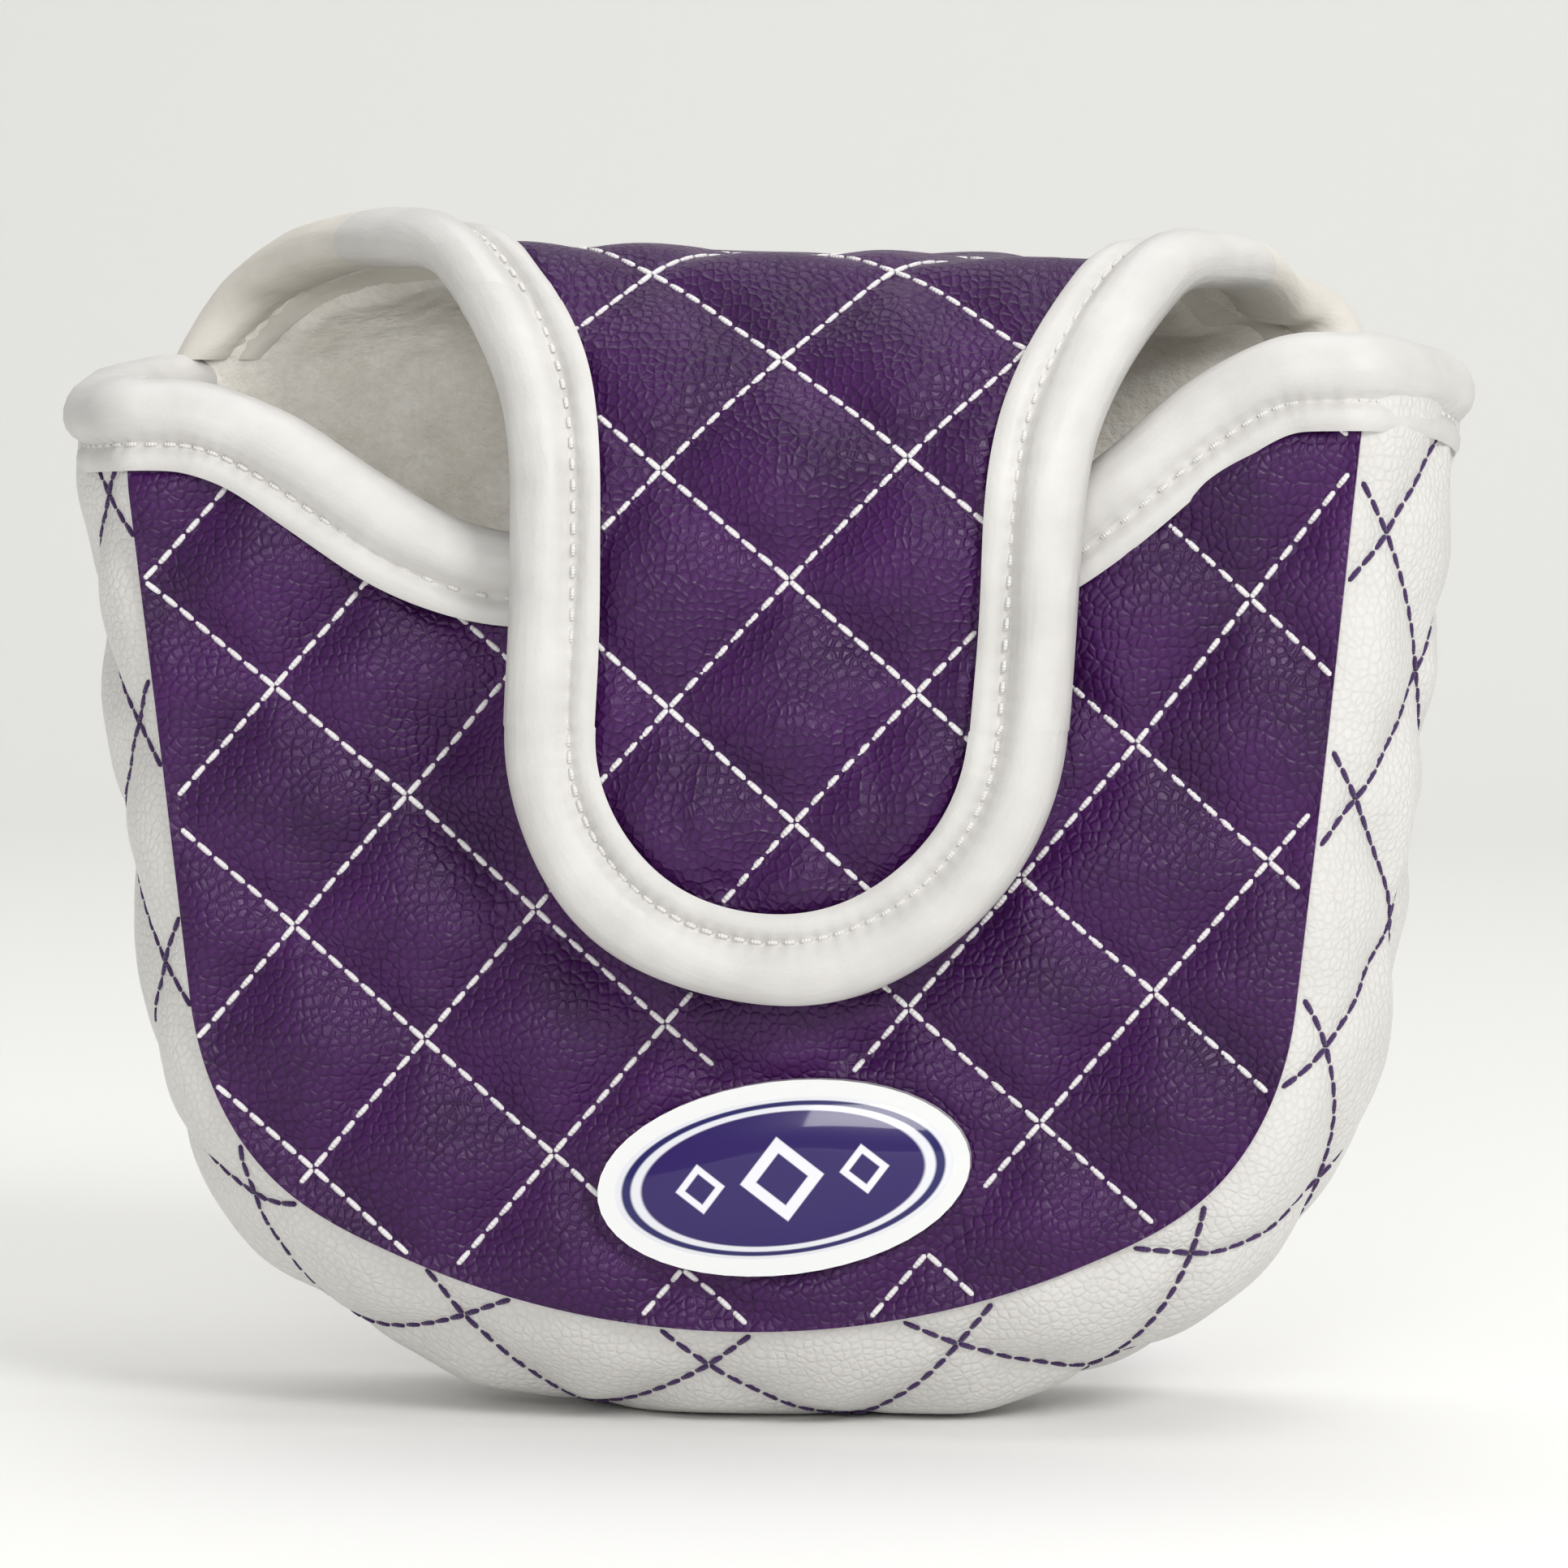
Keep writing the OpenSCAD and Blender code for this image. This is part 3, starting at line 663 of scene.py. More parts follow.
white_leatherette = leatherette("off_white_pebbled_leatherette", "cfcdca", "e4e2df", 0.6, 0.03)
band_end = seam_end - tape_cover
s, w = np.meshgrid(np.linspace(-band_end, band_end, 420), np.linspace(-gusset_half, gusset_half, 74))
gusset_pad = slab("gusset_quilted_band", gusset_surface(s, w), gusset_place(s, narrowed(w, pad_t), -pad_t),
                  white_leatherette, on_cloth(s, w))
soft_piece(gusset_pad, "root", ["gusset_cover", "gusset_padding"])

s, w = np.meshgrid(np.linspace(-band_end, band_end, 240), np.linspace(-gusset_half, gusset_half, 36))
gusset_plush = slab("gusset_plush_lining", gusset_place(s, narrowed(w, pad_t), -pad_t),
                    gusset_place(s, narrowed(w, pad_t), -pad_t - lining_t + nap(s, w, 21)), white_plush,
                    on_cloth(s, w))
soft_piece(gusset_plush, "root", ["gusset_lining"])

# The second colour is the painted shade at each stitch's ends.
purple_thread = thread("purple_polyester_thread", "3d2455", "2a183c")
a, b, heading = stitch_places(gusset_origin, gusset_turn, reach=12)
kept = (np.abs(b) < gusset_half - 1.2 * MM) & (np.abs(a) < seam_end - binding_width + 1 * MM)
gusset_stitches = sew("gusset_diamond_stitches", gusset_surface, a[kept], b[kept], heading[kept],
                      (1.1 * MM, 0.31 * MM, 0.27 * MM), purple_thread, height=0.16 * MM)
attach(gusset_stitches, "root")

# ---------------------------------------------------------------- Mouth binding
# Smooth off-white tape folded over the raw top edges of the front panel and
# the gusset and sewn through, so it puffs up between the edge and the stitches.

binding_t = 0.8 * MM
tack_pitch = 2.25 * MM              # between the binding's stitches
# The folded tape's section: distance in from the edge and height over the cover, in mm, then how far
# each point is drawn in at a stitch.
binding_section = np.array([
    (9.4, 0.35, 0.0), (8.8, 0.75, 0.1), (8.0, 0.8, 0.3), (7.3, 0.6, 0.6), (6.85, 0.15, 0.9),
    (6.5, -0.05, 1.0), (6.1, 0.15, 0.9), (5.5, 0.95, 0.6), (4.6, 1.55, 0.4), (3.6, 1.75, 0.3),
    (2.5, 1.6, 0.25), (1.4, 1.1, 0.2), (0.5, 0.3, 0.15), (-0.1, -0.8, 0.1), (-0.3, -2.2, 0.05),
    (-0.3, -3.6, 0.05), (-0.1, -5.0, 0.1), (0.5, -6.1, 0.15), (1.4, -6.9, 0.2), (2.5, -7.3, 0.25),
    (3.6, -7.3, 0.3), (4.6, -7.0, 0.4), (5.5, -6.6, 0.6), (6.1, -6.1, 0.9), (6.5, -5.9, 1.0),
    (6.85, -6.1, 0.9), (7.3, -6.4, 0.6), (8.0, -6.5, 0.3), (8.8, -6.4, 0.1), (9.4, -6.15, 0.0)])


def binding_profile(length, depth, seed):
    """In and out of each point of the tape's section at each length along the edge, depth in from its
    outer skin. The tape is drawn in by up to 0.2 mm at every stitch and a random swell runs along it."""
    section = binding_section[:, :2] * MM
    ahead = np.gradient(section, axis=0)
    across = np.stack([ahead[:, 1], -ahead[:, 0]], axis=-1) / np.linalg.norm(ahead, axis=1, keepdims=True)
    at_stitch = 0.5 + 0.5 * np.cos(2 * pi * length / tack_pitch)[:, None]
    swell = unevenness(length[:, None], section[None, :, 0] * 2, seed, 16 * MM)
    puff = 0.5 * MM * swell - 0.2 * MM * at_stitch * binding_section[None, :, 2] ** 3
    point = section[None] + across[None] * (puff - depth)[..., None]
    return point[..., 0], point[..., 1]


def binding_leather(name, colour, light_colour):
    """Smooth polyurethane tape: a satin coating with a faint calf grain and fine creases where it is
    folded, a little greyer in broad random patches."""
    material, tree, shader = finish_named(name)
    place = node(tree, "UVMap", {"uv_map": "cloth"}).outputs["UV"]
    in_mm = node(tree, "Mapping", Vector=place, Scale=to_mm).outputs["Vector"]
    grain = node(tree, "TexVoronoi", {"feature": "DISTANCE_TO_EDGE", "voronoi_dimensions": "2D"},
                 Vector=in_mm, Scale=1.3)
    broad = node(tree, "TexNoise", Vector=in_mm, Scale=0.12, Detail=4.0)
    drawn_out = node(tree, "Mapping", Vector=in_mm, Scale=(0.55, 0.12, 1)).outputs["Vector"]
    crease = node(tree, "TexNoise", Vector=drawn_out, Scale=1.0, Detail=3.0)
    tone = node(tree, "MapRange", Value=broad.outputs["Fac"], From_Min=0.3, From_Max=0.7)
    mixed = node(tree, "Mix", {"data_type": "RGBA"}, i0=tone.outputs["Result"], i6=linear(colour),
                 i7=linear(light_colour))
    tree.links.new(mixed.outputs[2], shader.inputs["Base Color"])
    rough = node(tree, "MapRange", Value=broad.outputs["Fac"], From_Min=0.3, From_Max=0.7, To_Min=0.42,
                 To_Max=0.55)
    tree.links.new(rough.outputs["Result"], shader.inputs["Roughness"])
    fine = node(tree, "Bump", Strength=0.25, Distance=0.08 * MM, Height=grain.outputs["Distance"])
    folds = node(tree, "Bump", Strength=0.35, Distance=0.5 * MM, Height=crease.outputs["Fac"],
                 Normal=fine.outputs["Normal"])
    tree.links.new(folds.outputs["Normal"], shader.inputs["Normal"])
    shader.inputs["Specular IOR Level"].default_value = 0.45
    return material


white_tape = binding_leather("off_white_leatherette_tape", "c6c4c1", "d3d1ce")


def unit(vectors):
    """The same directions, each of length 1."""
    return vectors / np.linalg.norm(vectors, axis=-1, keepdims=True)


def smoothed(values, half):
    """Running mean over half rows each way; the ends are held."""
    first, last = (np.repeat(end, half, axis=0) for end in (values[:1], values[-1:]))
    padded = np.concatenate([first, values, last])
    total = np.concatenate([np.zeros_like(values[:1]), np.cumsum(padded, axis=0)])
    return (total[2 * half + 1:] - total[:-2 * half - 1]) / (2 * half + 1)


# The edge that the tape follows, from the left gusset's back corner round the front to the right one's:
# its place, the way in from the edge, and the way out from the cover.
turn = np.linspace(-gusset_half, gusset_half, 100)[:-1] / gusset_radius
side_x, side_z = seam_point(seam_end, gusset_middle + gusset_radius * np.cos(turn))
right_edge = np.stack([side_x, -gusset_radius * np.sin(turn), side_z], axis=-1)
right_in = np.broadcast_to((-sin(flare), 0, -cos(flare)), right_edge.shape)
right_out = np.stack([np.cos(turn) * cos(flare), -np.sin(turn), -np.cos(turn) * sin(flare)], axis=-1)
front_x = np.linspace(-half_width, half_width, 380)
front_edge = np.stack([front_x, np.full_like(front_x, -half_depth), mouth_height(front_x)], axis=-1)
rise = np.gradient(front_edge[:, 2], front_x)
front_in = unit(np.stack([rise, np.zeros_like(rise), -np.ones_like(rise)], axis=-1))
front_out = np.broadcast_to((0.0, -1.0, 0.0), front_edge.shape)
flip_x = np.array([-1, 1, 1])
tape_edge, tape_in, tape_out = (
    smoothed(np.concatenate([side * flip_x, middle, side[::-1]]), 7)
    for side, middle in ((right_edge, front_edge), (right_in, front_in), (right_out, front_out)))
tape_length = np.concatenate([[0], np.cumsum(np.linalg.norm(np.diff(tape_edge, axis=0), axis=1))])
tape_in, tape_out = unit(tape_in), unit(tape_out)


def mouth_tape(length, inward, outward):
    """A point of the mouth's tape at those distances along, in from, and out from its edge."""
    edge, within, beyond = (
        np.stack([np.interp(length, tape_length, part[:, axis]) for axis in range(3)], axis=-1)
        for part in (tape_edge, tape_in, tape_out))
    return settle(edge + within * inward[..., None] + beyond * outward[..., None])


def tape_slab(name, place, length, seed, material):
    """The folded tape as a closed skin 0.8 mm thick along part of an edge."""
    skins = []
    for depth in (0.0, binding_t):
        inward, outward = binding_profile(length, depth, seed)
        skins.append(place(np.broadcast_to(length[:, None], inward.shape), inward, outward))
    steps = np.linalg.norm(np.diff(binding_section[:, :2], axis=0), axis=1)
    around = np.concatenate([[0], np.cumsum(steps)]) * MM
    return slab(name, skins[0], skins[1], material, on_cloth(around[None, :], length[:, None]))


def tack(name, place, length, material):
    """The stitches that hold the tape, one at every stitch pitch in the groove on the outer face."""
    def groove(a, b, out):
        """A point of the groove, 6.5 mm in from the edge."""
        return place(a, 6.5 * MM + b, np.full_like(a, out))

    middle = np.arange(np.ceil(length[0] / tack_pitch - 0.5) + 0.5, length[-1] / tack_pitch) * tack_pitch
    return sew(name, groove, middle, np.zeros_like(middle), np.zeros_like(middle),
               (0.68 * MM, 0.24 * MM, 0.2 * MM), material, flip=-1, height=0.0)


mouth_run = np.linspace(0, tape_length[-1], 760)
mouth_piece = tape_slab("mouth_binding_tape", mouth_tape, mouth_run, 31, white_tape)
soft_piece(mouth_piece, "root", ["mouth_binding"])
# The second colour is the painted shade at each stitch's ends.
tape_thread = thread("off_white_tape_thread", "dedcd8", "5d5852")
mouth_stitches = tack("mouth_binding_stitches", mouth_tape, mouth_run, tape_thread)
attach(mouth_stitches, "root")

# ---------------------------------------------------------------- Back, fold and flap
# One long quilted piece: the back panel grows wings at the mouth, folds forwards
# over it, narrows and hangs down in front as the flap. The real one bends at four
# places when the flap is lifted, so it is made in four stretches that meet edge to
# edge; nothing in this script bends them.

rear_bend, front_bend, drop_bend = 13 * MM, 12 * MM, 37 * MM        # radii
front_turn_by = radians(36)
closed_face = 31.0 * MM                  # the closed flap's outer face, in front of the middle
drop_y = drop_bend - closed_face
level_length = half_depth - rear_bend - drop_y + (drop_bend - front_bend) * sin(front_turn_by)
rear_end = rear_bend * pi / 2
level_end = rear_end + level_length
front_end = level_end + front_bend * front_turn_by
drop_end = front_end + drop_bend * (pi / 2 - front_turn_by)
flap_half = 28.5 * MM
flap_tip = 46 * MM
drop_z = shoulder + rear_bend - front_bend - (drop_bend - front_bend) * cos(front_turn_by)
tip_middle = drop_end + drop_z - flap_tip - flap_half   # the round tip's centre, as a length along the fold
tip_end = tip_middle + flap_half


def fold_heading(v):
    """How far the fold has turned at length v past the back panel's top: 0 is upright, pi hangs down."""
    return (np.clip(v, 0, rear_end) / rear_bend
            + np.clip(v - level_end, 0, front_end - level_end) / front_bend
            + np.clip(v - front_end, 0, drop_end - front_end) / drop_bend)


def fold_line(v):
    """y and z of the fold's outer face: three arcs with a level stretch and two upright ones between."""
    first = np.clip(v, 0, rear_end) / rear_bend
    level = np.clip(v - rear_end, 0, level_length)
    second = np.clip(v - level_end, 0, front_end - level_end) / front_bend
    third = front_turn_by + np.clip(v - front_end, 0, drop_end - front_end) / drop_bend
    y = (half_depth - rear_bend * (1 - np.cos(first)) - level - front_bend * np.sin(second)
         - drop_bend * (np.sin(third) - sin(front_turn_by)))
    z = (shoulder + np.minimum(v, 0) + rear_bend * np.sin(first) - front_bend * (1 - np.cos(second))
         - drop_bend * (cos(front_turn_by) - np.cos(third)) - np.maximum(v - drop_end, 0))
    return y, z


def fold_half(v):
    """Half width: the wings' S-shaped shoulders narrow to the flap's straight sides."""
    straight = 1 - v / (64 * MM)
    straight = (straight + np.sqrt(straight ** 2 + 0.02)) / (1 + sqrt(1.02))
    wide = 0.5 * ease(1 - v / (78 * MM)) ** 1.3 + 0.5 * np.where(v > 0, straight, 1)
    return flap_half + (half_width - flap_half) * wide * ease((126 * MM - v) / (40 * MM))


def fold_shift(v):
    """How far the fold and the flap have wandered to the right."""
    return (6.9 * MM * ease((v + 8 * MM) / (70 * MM)) - 2.0 * MM * ease((v - 70 * MM) / (56 * MM))
            - 2.4 * MM * ease((22 * MM - v) / (22 * MM)) * ease((v + 25 * MM) / (25 * MM)))


def fold_place(x, v, out=0.0):
    """A point x across and v along the fold, out from its face. The fold's top falls away to the right, its
    wings stand a little higher than its middle and droop where they leave the back, and their tape pinches
    the wall to six tenths of its thickness."""
    y, z = fold_line(v)
    heading = fold_heading(v)
    from_edge = fold_half(v) - np.abs(x)
    pinch = (0.4 * ease((13 * MM - from_edge) / (4 * MM))
             * ease(v / (14 * MM)) * ease((74 * MM - v) / (22 * MM)))
    out = np.where(out < 0, out * (1 - pinch), out)
    wings = 1.5 * MM * ease((np.abs(x) - 24 * MM) / (16 * MM)) * ease((70 * MM - v) / (26 * MM))
    droop = np.exp(-((v - 17 * MM) / (8 * MM)) ** 2) * ease((np.abs(x) - 20 * MM) / (24 * MM))
    right = ease(x / (40 * MM))
    x = x * (1 - 0.05 * droop * right) + fold_shift(v)
    lean = (wings - 1.2 * MM - 0.026 * x) * ease(v / (24 * MM)) * ease((112 * MM - v) / (60 * MM))
    lean = lean - droop * (1.9 + 1.6 * right) * MM
    return np.stack([x, y + out * np.cos(heading), z + out * np.sin(heading) + lean], axis=-1)


flap_origin, flap_turn = (-0.3 * MM, 82.3 * MM), radians(-4.3)


magnet_v = drop_end + drop_z - magnet_z


def fold_swell(x, v):
    """Its quilting, flattened at the rims and under the tape, over a random swell."""
    from_rim = np.where(v < 0, inside_seam(x, v + shoulder), np.minimum(fold_half(v) - np.abs(x), 40 * MM))
    from_rim = np.where(v > tip_middle, flap_half - np.hypot(x, v - tip_middle), from_rim)
    rim = 1 - np.exp(-np.maximum(from_rim, 0) / (2.2 * MM))
    free = np.where(v > 0, ease((from_rim - binding_width + 1.5 * MM) / (4 * MM)), 1)
    pulled = 1 - 0.75 * ease(1 - np.abs(v - 28 * MM) / (32 * MM))      # the bend pulls the pads flat
    pads = pulled * (quilt_height(x, v, flap_origin, flap_turn) - 0.8 * MM)
    swell = rim * (pads + 0.9 * MM * unevenness(x, v, 7, 17 * MM) - 0.5 * MM) + over_magnet(x, v - magnet_v)
    return free * swell - (1 - free) * 0.9 * MM


def fold_surface(x, v, out=0.0):
    """A point of the fold's quilted face, and past it by out."""
    return fold_place(x, v, fold_swell(x, v) + out)


# The wall's depth at which each stretch would begin and end its bend: as deep as its innermost point, so
# that two stretches that meet would turn by exactly the same amount at every depth. Nothing here turns them.
wall_t = pad_t + lining_t
deepest = wall_t + 2.2 * MM
eighth = pi / 4


def bend_point(v, heading):
    """The point under length v of the fold, as deep as the wall's innermost point."""
    y, z = fold_line(v)
    return (0, float(y - deepest * cos(heading)), float(z - deepest * sin(heading)))


v_45, v_135 = rear_bend * eighth, front_end + drop_bend * (eighth - front_turn_by)
v_90, v_180 = rear_end, drop_end
bend_rear = ("root", "fold_rear", bend_point(0, 0), bend_point(v_45, eighth))
bend_top = ("fold_rear", "fold_top", bend_point(v_45, eighth), bend_point(v_90, 2 * eighth))
bend_front = ("fold_top", "fold_front", bend_point(level_end, 2 * eighth), bend_point(v_135, 3 * eighth))
bend_drop = ("fold_front", "flap", bend_point(v_135, 3 * eighth), bend_point(v_180, 4 * eighth))
v_cut = (v_90 + level_end) / 2            # middle of the level stretch, where no bend acts


def back_patch(columns, rows, inset=0.0):
    """x and v over the back panel and its wings up to the first cut: a patch between its seam, the wings'
    edges and a level top."""
    low_side = np.stack(seam_point(np.linspace(-seam_turn, seam_turn, columns)), axis=-1) - (0, shoulder)
    length = np.linspace(seam_turn, seam_end + v_45, rows)
    x, z = seam_point(np.minimum(length, seam_end))
    wing = np.maximum(length - seam_end, 0)
    right = np.stack([np.where(wing > 0, fold_half(wing), x), z - shoulder + wing], axis=-1)
    top = np.stack([np.linspace(-1, 1, columns) * fold_half(v_45), np.full(columns, v_45)], axis=-1)
    filled = patch(low_side, top, right * (-1, 1), right)
    x, v = filled[..., 0], filled[..., 1]
    return x * (1 - inset / half_width * ease((v + 12 * MM) / (12 * MM))), v


def stretch_grid(start, end, columns, rows, inset=0.0):
    """x and v over a stretch of the fold: straight lines across it, set in from its edges."""
    v = np.broadcast_to(np.linspace(start, end, rows)[:, None], (rows, columns))
    return np.linspace(-1, 1, columns)[None, :] * (fold_half(v) - inset), v


def flap_grid(columns, rows, inset=0.0):
    """x and v over the flap: lines that run down to its round tip, spaced as the sines of even angles."""
    x = (flap_half - inset) * np.sin(np.linspace(-pi / 2, pi / 2, columns))[None, :]
    reach = tip_middle + np.sqrt(np.maximum((flap_half - inset) ** 2 - x ** 2, 0))
    v = v_135 + (reach - v_135) * np.linspace(0, 1, rows)[:, None]
    return np.broadcast_to(x, v.shape), v


tape_inset = binding_t
stretches = (
    ("back", lambda fine: back_patch(int(200 * fine), int(150 * fine), tape_inset), bend_rear,
     ["back_cover", "back_padding"], ["back_lining"]),
    ("fold_rear", lambda fine: stretch_grid(v_45, v_cut, int(180 * fine), int(34 * fine), tape_inset),
     bend_top, ["fold_rear_cover", "fold_rear_padding"], ["fold_rear_lining"]),
    ("fold_front", lambda fine: stretch_grid(v_cut, v_135, int(180 * fine), int(38 * fine), tape_inset),
     bend_front, ["fold_top_cover", "fold_top_padding"], ["fold_top_lining"]),
    ("flap", lambda fine: flap_grid(int(110 * fine), int(120 * fine), tape_inset), bend_drop,
     ["fold_front_cover", "fold_front_padding", "flap_cover", "flap_padding"],
     ["fold_front_lining", "flap_lining"]))
for part, grid, bend, pads, linings in stretches:
    x, v = grid(1)
    piece = slab(part + "_quilted_pad", fold_surface(x, v), fold_place(x, v, -pad_t), purple_leatherette,
                 on_cloth(x, v))
    soft_piece(piece, bend, pads)
    x, v = grid(0.6)
    piece = slab(part + "_plush_lining", fold_place(x, v, -pad_t), fold_place(x, v, -wall_t + nap(x, v, 41)),
                 white_plush, on_cloth(x, v))
    soft_piece(piece, bend, linings)

a, b, heading = stitch_places(flap_origin, flap_turn, reach=14)
room = np.where(b > tip_middle, flap_half - np.hypot(a, b - tip_middle),
                fold_half(np.maximum(b, 0)) - np.abs(a))
sewn = np.where(b < 0, inside_seam(a, b + shoulder) > 0.5 * MM, room > binding_width - 0.5 * MM)
for part, start, end, bend, stood_for in (
        ("back", -shoulder, v_45, bend_rear, ["back_quilting"]), ("fold_rear", v_45, v_cut, bend_top, []),
        ("fold_front", v_cut, v_135, bend_front, []), ("flap", v_135, tip_end, bend_drop, ["flap_quilting"])):
    kept = sewn & (b >= start) & (b < end)
    piece = sew(part + "_diamond_stitches", fold_surface, a[kept], b[kept], heading[kept],
                white_stitch, white_thread, flip=-1)
    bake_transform(piece)
    if stood_for:
        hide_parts(*stood_for)

# Tape round the wings, the fold and the flap. Each edge is counted from the gusset; rows of the tape lie at
# one length along the fold, so the cuts between the stretches run straight across it.
edge_v = np.linspace(0, tip_middle, 700)
edge_slope = np.gradient(fold_half(edge_v), edge_v)
edge_run = np.concatenate([[0], np.cumsum(np.hypot(np.diff(edge_v), np.diff(fold_half(edge_v))))])
edge_total = edge_run[-1]
round_tip = flap_half * pi


def fold_tape(side, length, inward, outward):
    """A point of the tape along one edge; on the round tip the way in points at the tip's centre. side is
    -1 for the left edge and 1 for the right one, which carries on round the tip."""
    v = np.interp(length, edge_run, edge_v)
    slant = np.sqrt(1 + np.interp(v, edge_v, edge_slope) ** 2)
    turn = np.clip(length - edge_total, 0, round_tip) / flap_half
    across = (fold_half(v) - inward * slant) * side
    tip = turn > 0
    x = np.where(tip, (flap_half - inward) * np.cos(turn) * side, across)
    v = np.where(tip, tip_middle + (flap_half - inward) * np.sin(turn), v)
    return fold_place(x, v, outward + 0.2 * MM)


def run_of(v):
    """Distance along the edge's own curve at length v of the fold."""
    return float(np.interp(v, edge_v, edge_run))


back_tape = binding_leather("aged_white_leatherette_tape", "cfcbc2", "dcd8cf")
runs = (("back", 0.0, run_of(v_45), bend_rear, ["back_binding"], back_tape),
        ("fold_rear", run_of(v_45), run_of(v_cut), bend_top, ["fold_rear_binding"], back_tape),
        ("fold_front", run_of(v_cut), run_of(v_135), bend_front, ["fold_top_binding"], white_tape))
for part, start, end, bend, stood_for, tape in runs:
    for side, hand in ((-1, "left"), (1, "right")):
        run = np.linspace(start, end, max(int((end - start) / (0.45 * MM)), 12))

        def edge_place(length, inward, outward, side=side):
            """A point of this side's tape."""
            return fold_tape(side, length, inward, outward)

        piece = tape_slab(f"{part}_binding_{hand}", edge_place, run, 61 + side, tape)
        soft_piece(piece, bend, stood_for if side > 0 else [])
        piece = tack(f"{part}_binding_stitches_{hand}", edge_place, run, tape_thread)
        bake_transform(piece)


def flap_tape(length, inward, outward):
    """The flap's tape in one run: down the right edge, round the tip and up the left edge."""
    half = edge_total + round_tip / 2
    past = length > half
    own = np.where(past, 2 * half - length, length)
    return np.where(past[..., None], fold_tape(-1, own, inward, outward), fold_tape(1, own, inward, outward))


run = np.linspace(run_of(v_135), 2 * (edge_total + round_tip / 2) - run_of(v_135), 600)
piece = tape_slab("flap_binding_tape", flap_tape, run, 62, white_tape)
soft_piece(piece, bend_drop, ["fold_front_binding", "flap_binding"])
piece = tack("flap_binding_stitches", flap_tape, run, tape_thread)
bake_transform(piece)

# ---------------------------------------------------------------- Magnets
# A nickel-plated disc in a thin moulded cup sits in the foam of the flap and
# another in the foam of the front panel. They hide under the cloth.


def dress(node_name, material):
    """Gives a carried-over solid its finish."""
    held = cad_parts[node_name]
    for obj in held if isinstance(held, list) else [held]:
        for slot in obj.material_slots:
            slot.material = material


def brushed(name, colour, metallic, roughness, grain):
    """Nickel plate or moulded plastic: a fine random texture breaks up its reflections."""
    material, tree, shader = finish_named(name)
    place = node(tree, "TexCoord").outputs["Object"]
    speck = node(tree, "TexNoise", Vector=place, Scale=1000 / grain, Detail=3.0)
    rough = node(tree, "MapRange", Value=speck.outputs["Fac"], From_Min=0.3, From_Max=0.7,
                 To_Min=roughness * 0.8, To_Max=roughness * 1.2)
    tree.links.new(rough.outputs["Result"], shader.inputs["Roughness"])
    bump = node(tree, "Bump", Strength=0.15, Distance=0.05 * MM, Height=speck.outputs["Fac"])
    tree.links.new(bump.outputs["Normal"], shader.inputs["Normal"])
    shader.inputs["Base Color"].default_value = linear(colour)
    shader.inputs["Metallic"].default_value = metallic
    return material


nickel = brushed("nickel_plate", "b9bcc0", 1.0, 0.25, 0.8)
cup_plastic = brushed("moulded_black_polypropylene", "2a2b2e", 0.0, 0.5, 0.6)
for holder in ("flap", "pocket"):
    dress(holder + "_magnet", nickel)
    dress(holder + "_magnet_cup", cup_plastic)

# ---------------------------------------------------------------- Badge
# An oval moulded badge: a glossy white rim round a printed film, filled with
# clear resin that stands up as a low dome. The print is a plain pattern.

badge_white = brushed("moulded_white_abs", "e4e5e4", 0.0, 0.18, 0.6)
badge_white.node_tree.nodes["Principled BSDF"].inputs["Coat Weight"].default_value = 0.4
adhesive_film = brushed("double_sided_film", "b9bcc0", 0.0, 0.6, 0.6)
dress("badge_body", badge_white)
dress("badge_adhesive", adhesive_film)

badge_print, tree, shader = finish_named("printed_film_under_clear_resin")
place = node(tree, "Mapping", {"vector_type": "TEXTURE"}, Vector=node(tree, "TexCoord").outputs["Object"],
             Location=(badge_x, 0, badge_z), Rotation=(0, -badge_tilt, 0), Scale=(MM, MM, MM))
parts = node(tree, "SeparateXYZ", Vector=place.outputs["Vector"])
half_l, half_h = 17.7, 8.2                # the film's half axes in mm


def reckon(operation, first, second=0.0, third=0.0):
    """One sum on the print's pattern."""
    return node(tree, "Math", {"operation": operation}, i0=first, i1=second, i2=third).outputs["Value"]


def within(value, limit, soft=0.12):
    """1 where value is under limit, with a soft edge."""
    return node(tree, "MapRange", {"interpolation_type": "SMOOTHSTEP"}, Value=value, From_Min=limit - soft,
                From_Max=limit + soft, To_Min=1.0, To_Max=0.0).outputs["Result"]


across, up = parts.outputs["X"], parts.outputs["Z"]
across_2, up_2 = (reckon("POWER", reckon("ABSOLUTE", reckon("DIVIDE", way, half)), 2.0)
                  for way, half in ((across, half_l), (up, half_h)))
oval_reach = reckon("SQRT", reckon("ADD", across_2, up_2))


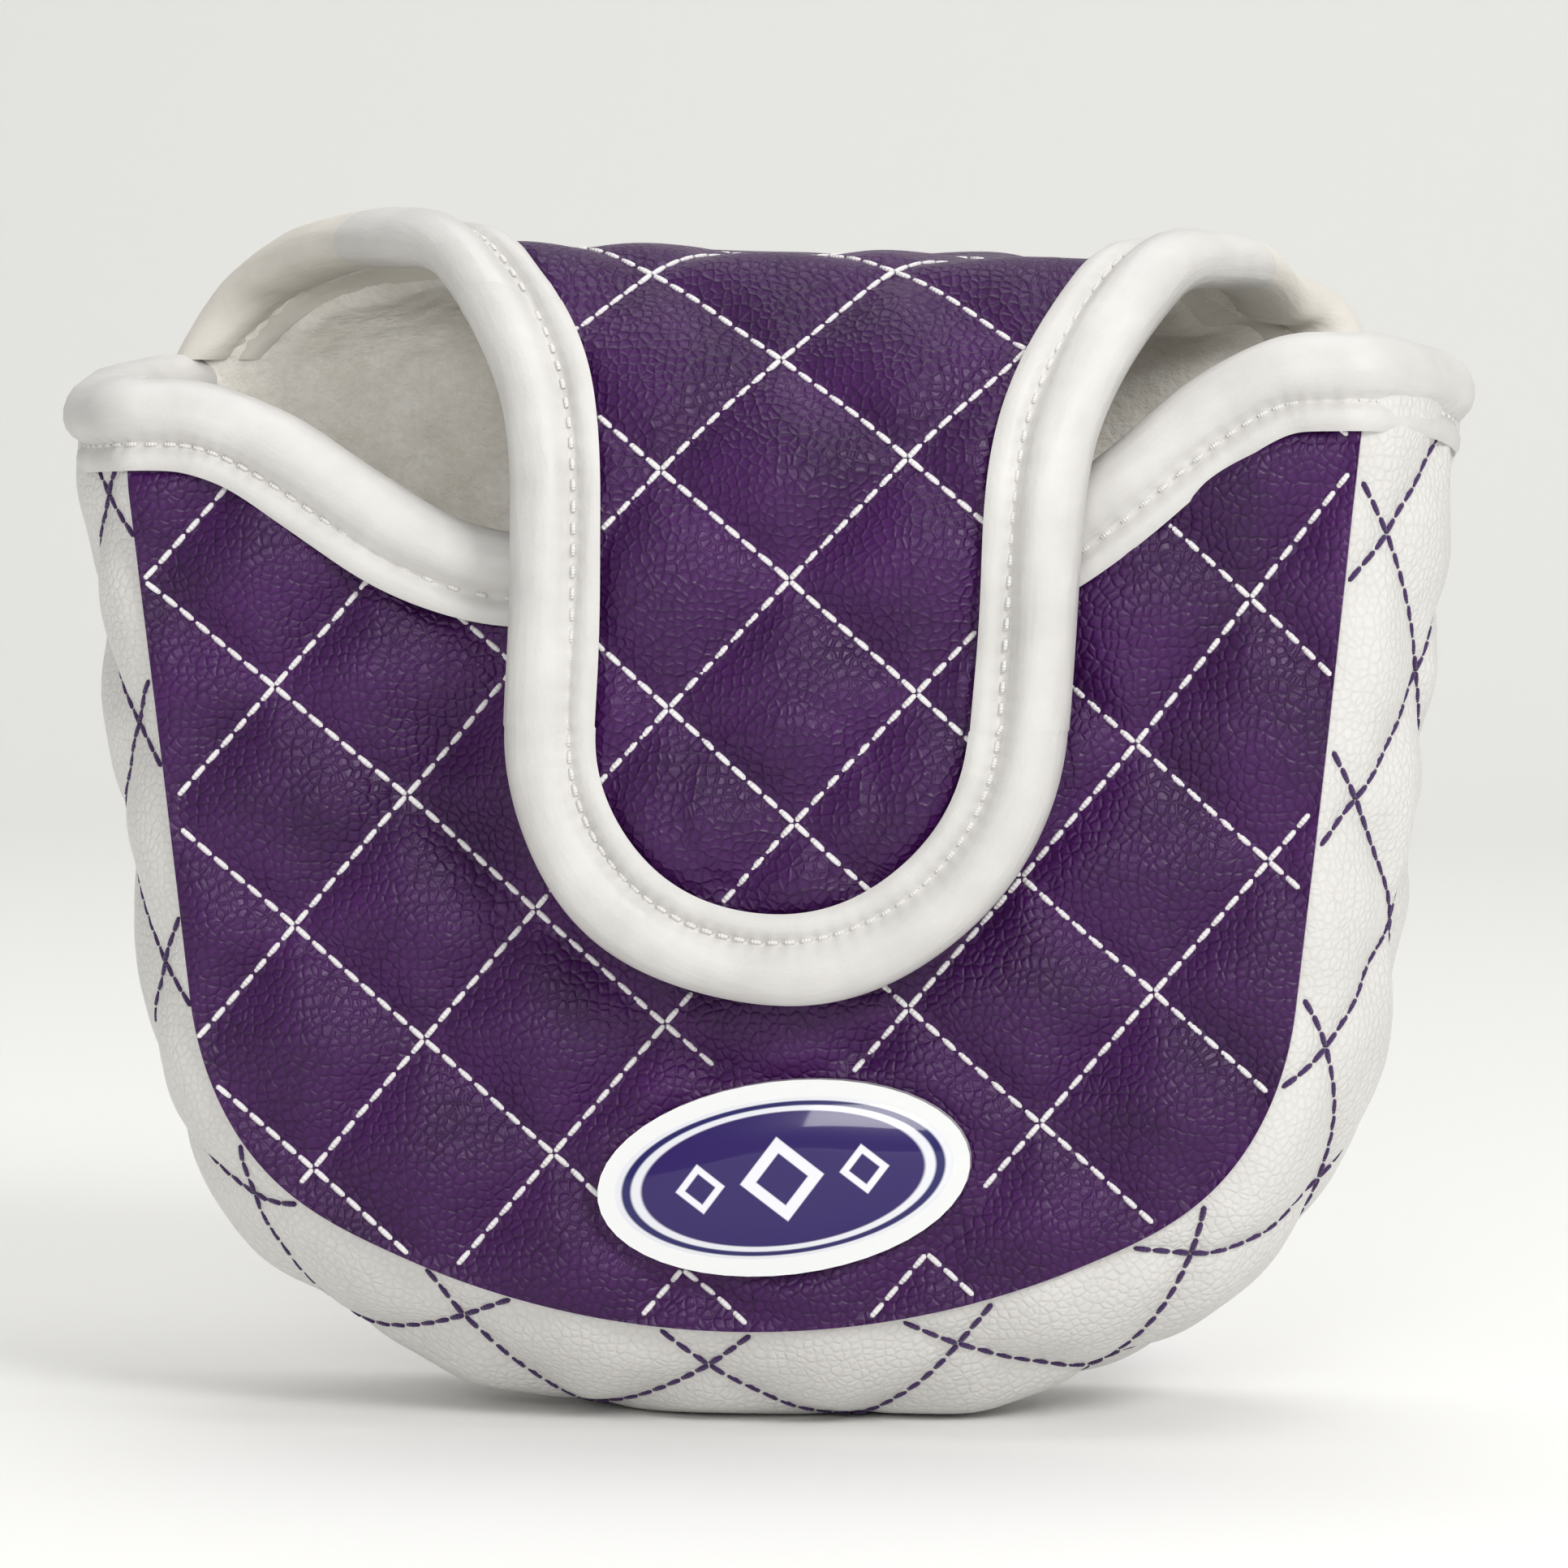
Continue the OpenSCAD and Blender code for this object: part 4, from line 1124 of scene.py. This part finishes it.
def over(below, colour, amount):
    """A layer of ink over what is below it."""
    mix = node(tree, "Mix", {"data_type": "RGBA"}, i0=amount, i7=linear(colour))
    if isinstance(below, str):
        mix.inputs[6].default_value = linear(below)
    else:
        tree.links.new(below, mix.inputs[6])
    return mix.outputs[2]


ink = over("dfe0e6", "1f1a5c", within(reckon("ABSOLUTE", reckon("SUBTRACT", oval_reach, 0.93)), 0.028, 0.01))
field = within(oval_reach, 0.84, 0.012)
ink = over(ink, "27125c", field)
# Three diamonds in a row, the middle one larger, echo the quilting.
for middle, size in ((-8.6, 2.6), (0.0, 4.4), (8.6, 2.6)):
    gap = reckon("ADD", reckon("ABSOLUTE", reckon("SUBTRACT", across, middle)), reckon("ABSOLUTE", up))
    ink = over(ink, "e6e6ee", within(gap, size))
    ink = over(ink, "27125c", within(gap, size * 0.62))
tree.links.new(ink, shader.inputs["Base Color"])
shader.inputs["Roughness"].default_value = 0.22
shader.inputs["Specular IOR Level"].default_value = 0.2
shader.inputs["Coat Weight"].default_value = 0.6
shader.inputs["Coat Roughness"].default_value = 0.04
dress("badge_inlay", badge_print)

# The resin is clear, so its skin shows the print under it. It is laid over a square stretched to a disc, so
# it has no pole: level in the middle, then steeper with the cube of the distance out.
first, second = np.meshgrid(np.linspace(-1, 1, 65), np.linspace(-1, 1, 65))
disc_x, disc_z = first * np.sqrt(1 - second ** 2 / 2), second * np.sqrt(1 - first ** 2 / 2)
along, up = disc_x * half_l * MM, disc_z * half_h * MM
dome_x = badge_x + along * cos(badge_tilt) - up * sin(badge_tilt)
dome_z = badge_z + along * sin(badge_tilt) + up * cos(badge_tilt)
dome_face, dome_foot = (corner[1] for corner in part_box("badge_dome"))
dome_y = dome_face + (dome_foot - dome_face) * 0.72 * np.minimum(np.hypot(disc_x, disc_z), 1) ** 3
dome = slab("badge_resin_dome", np.stack([dome_x, dome_y, dome_z], axis=-1),
            np.stack([dome_x, np.full_like(dome_x, dome_foot), dome_z], axis=-1), badge_print,
            on_cloth(dome_x, dome_z))
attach(dome, "root")
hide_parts("badge_dome")
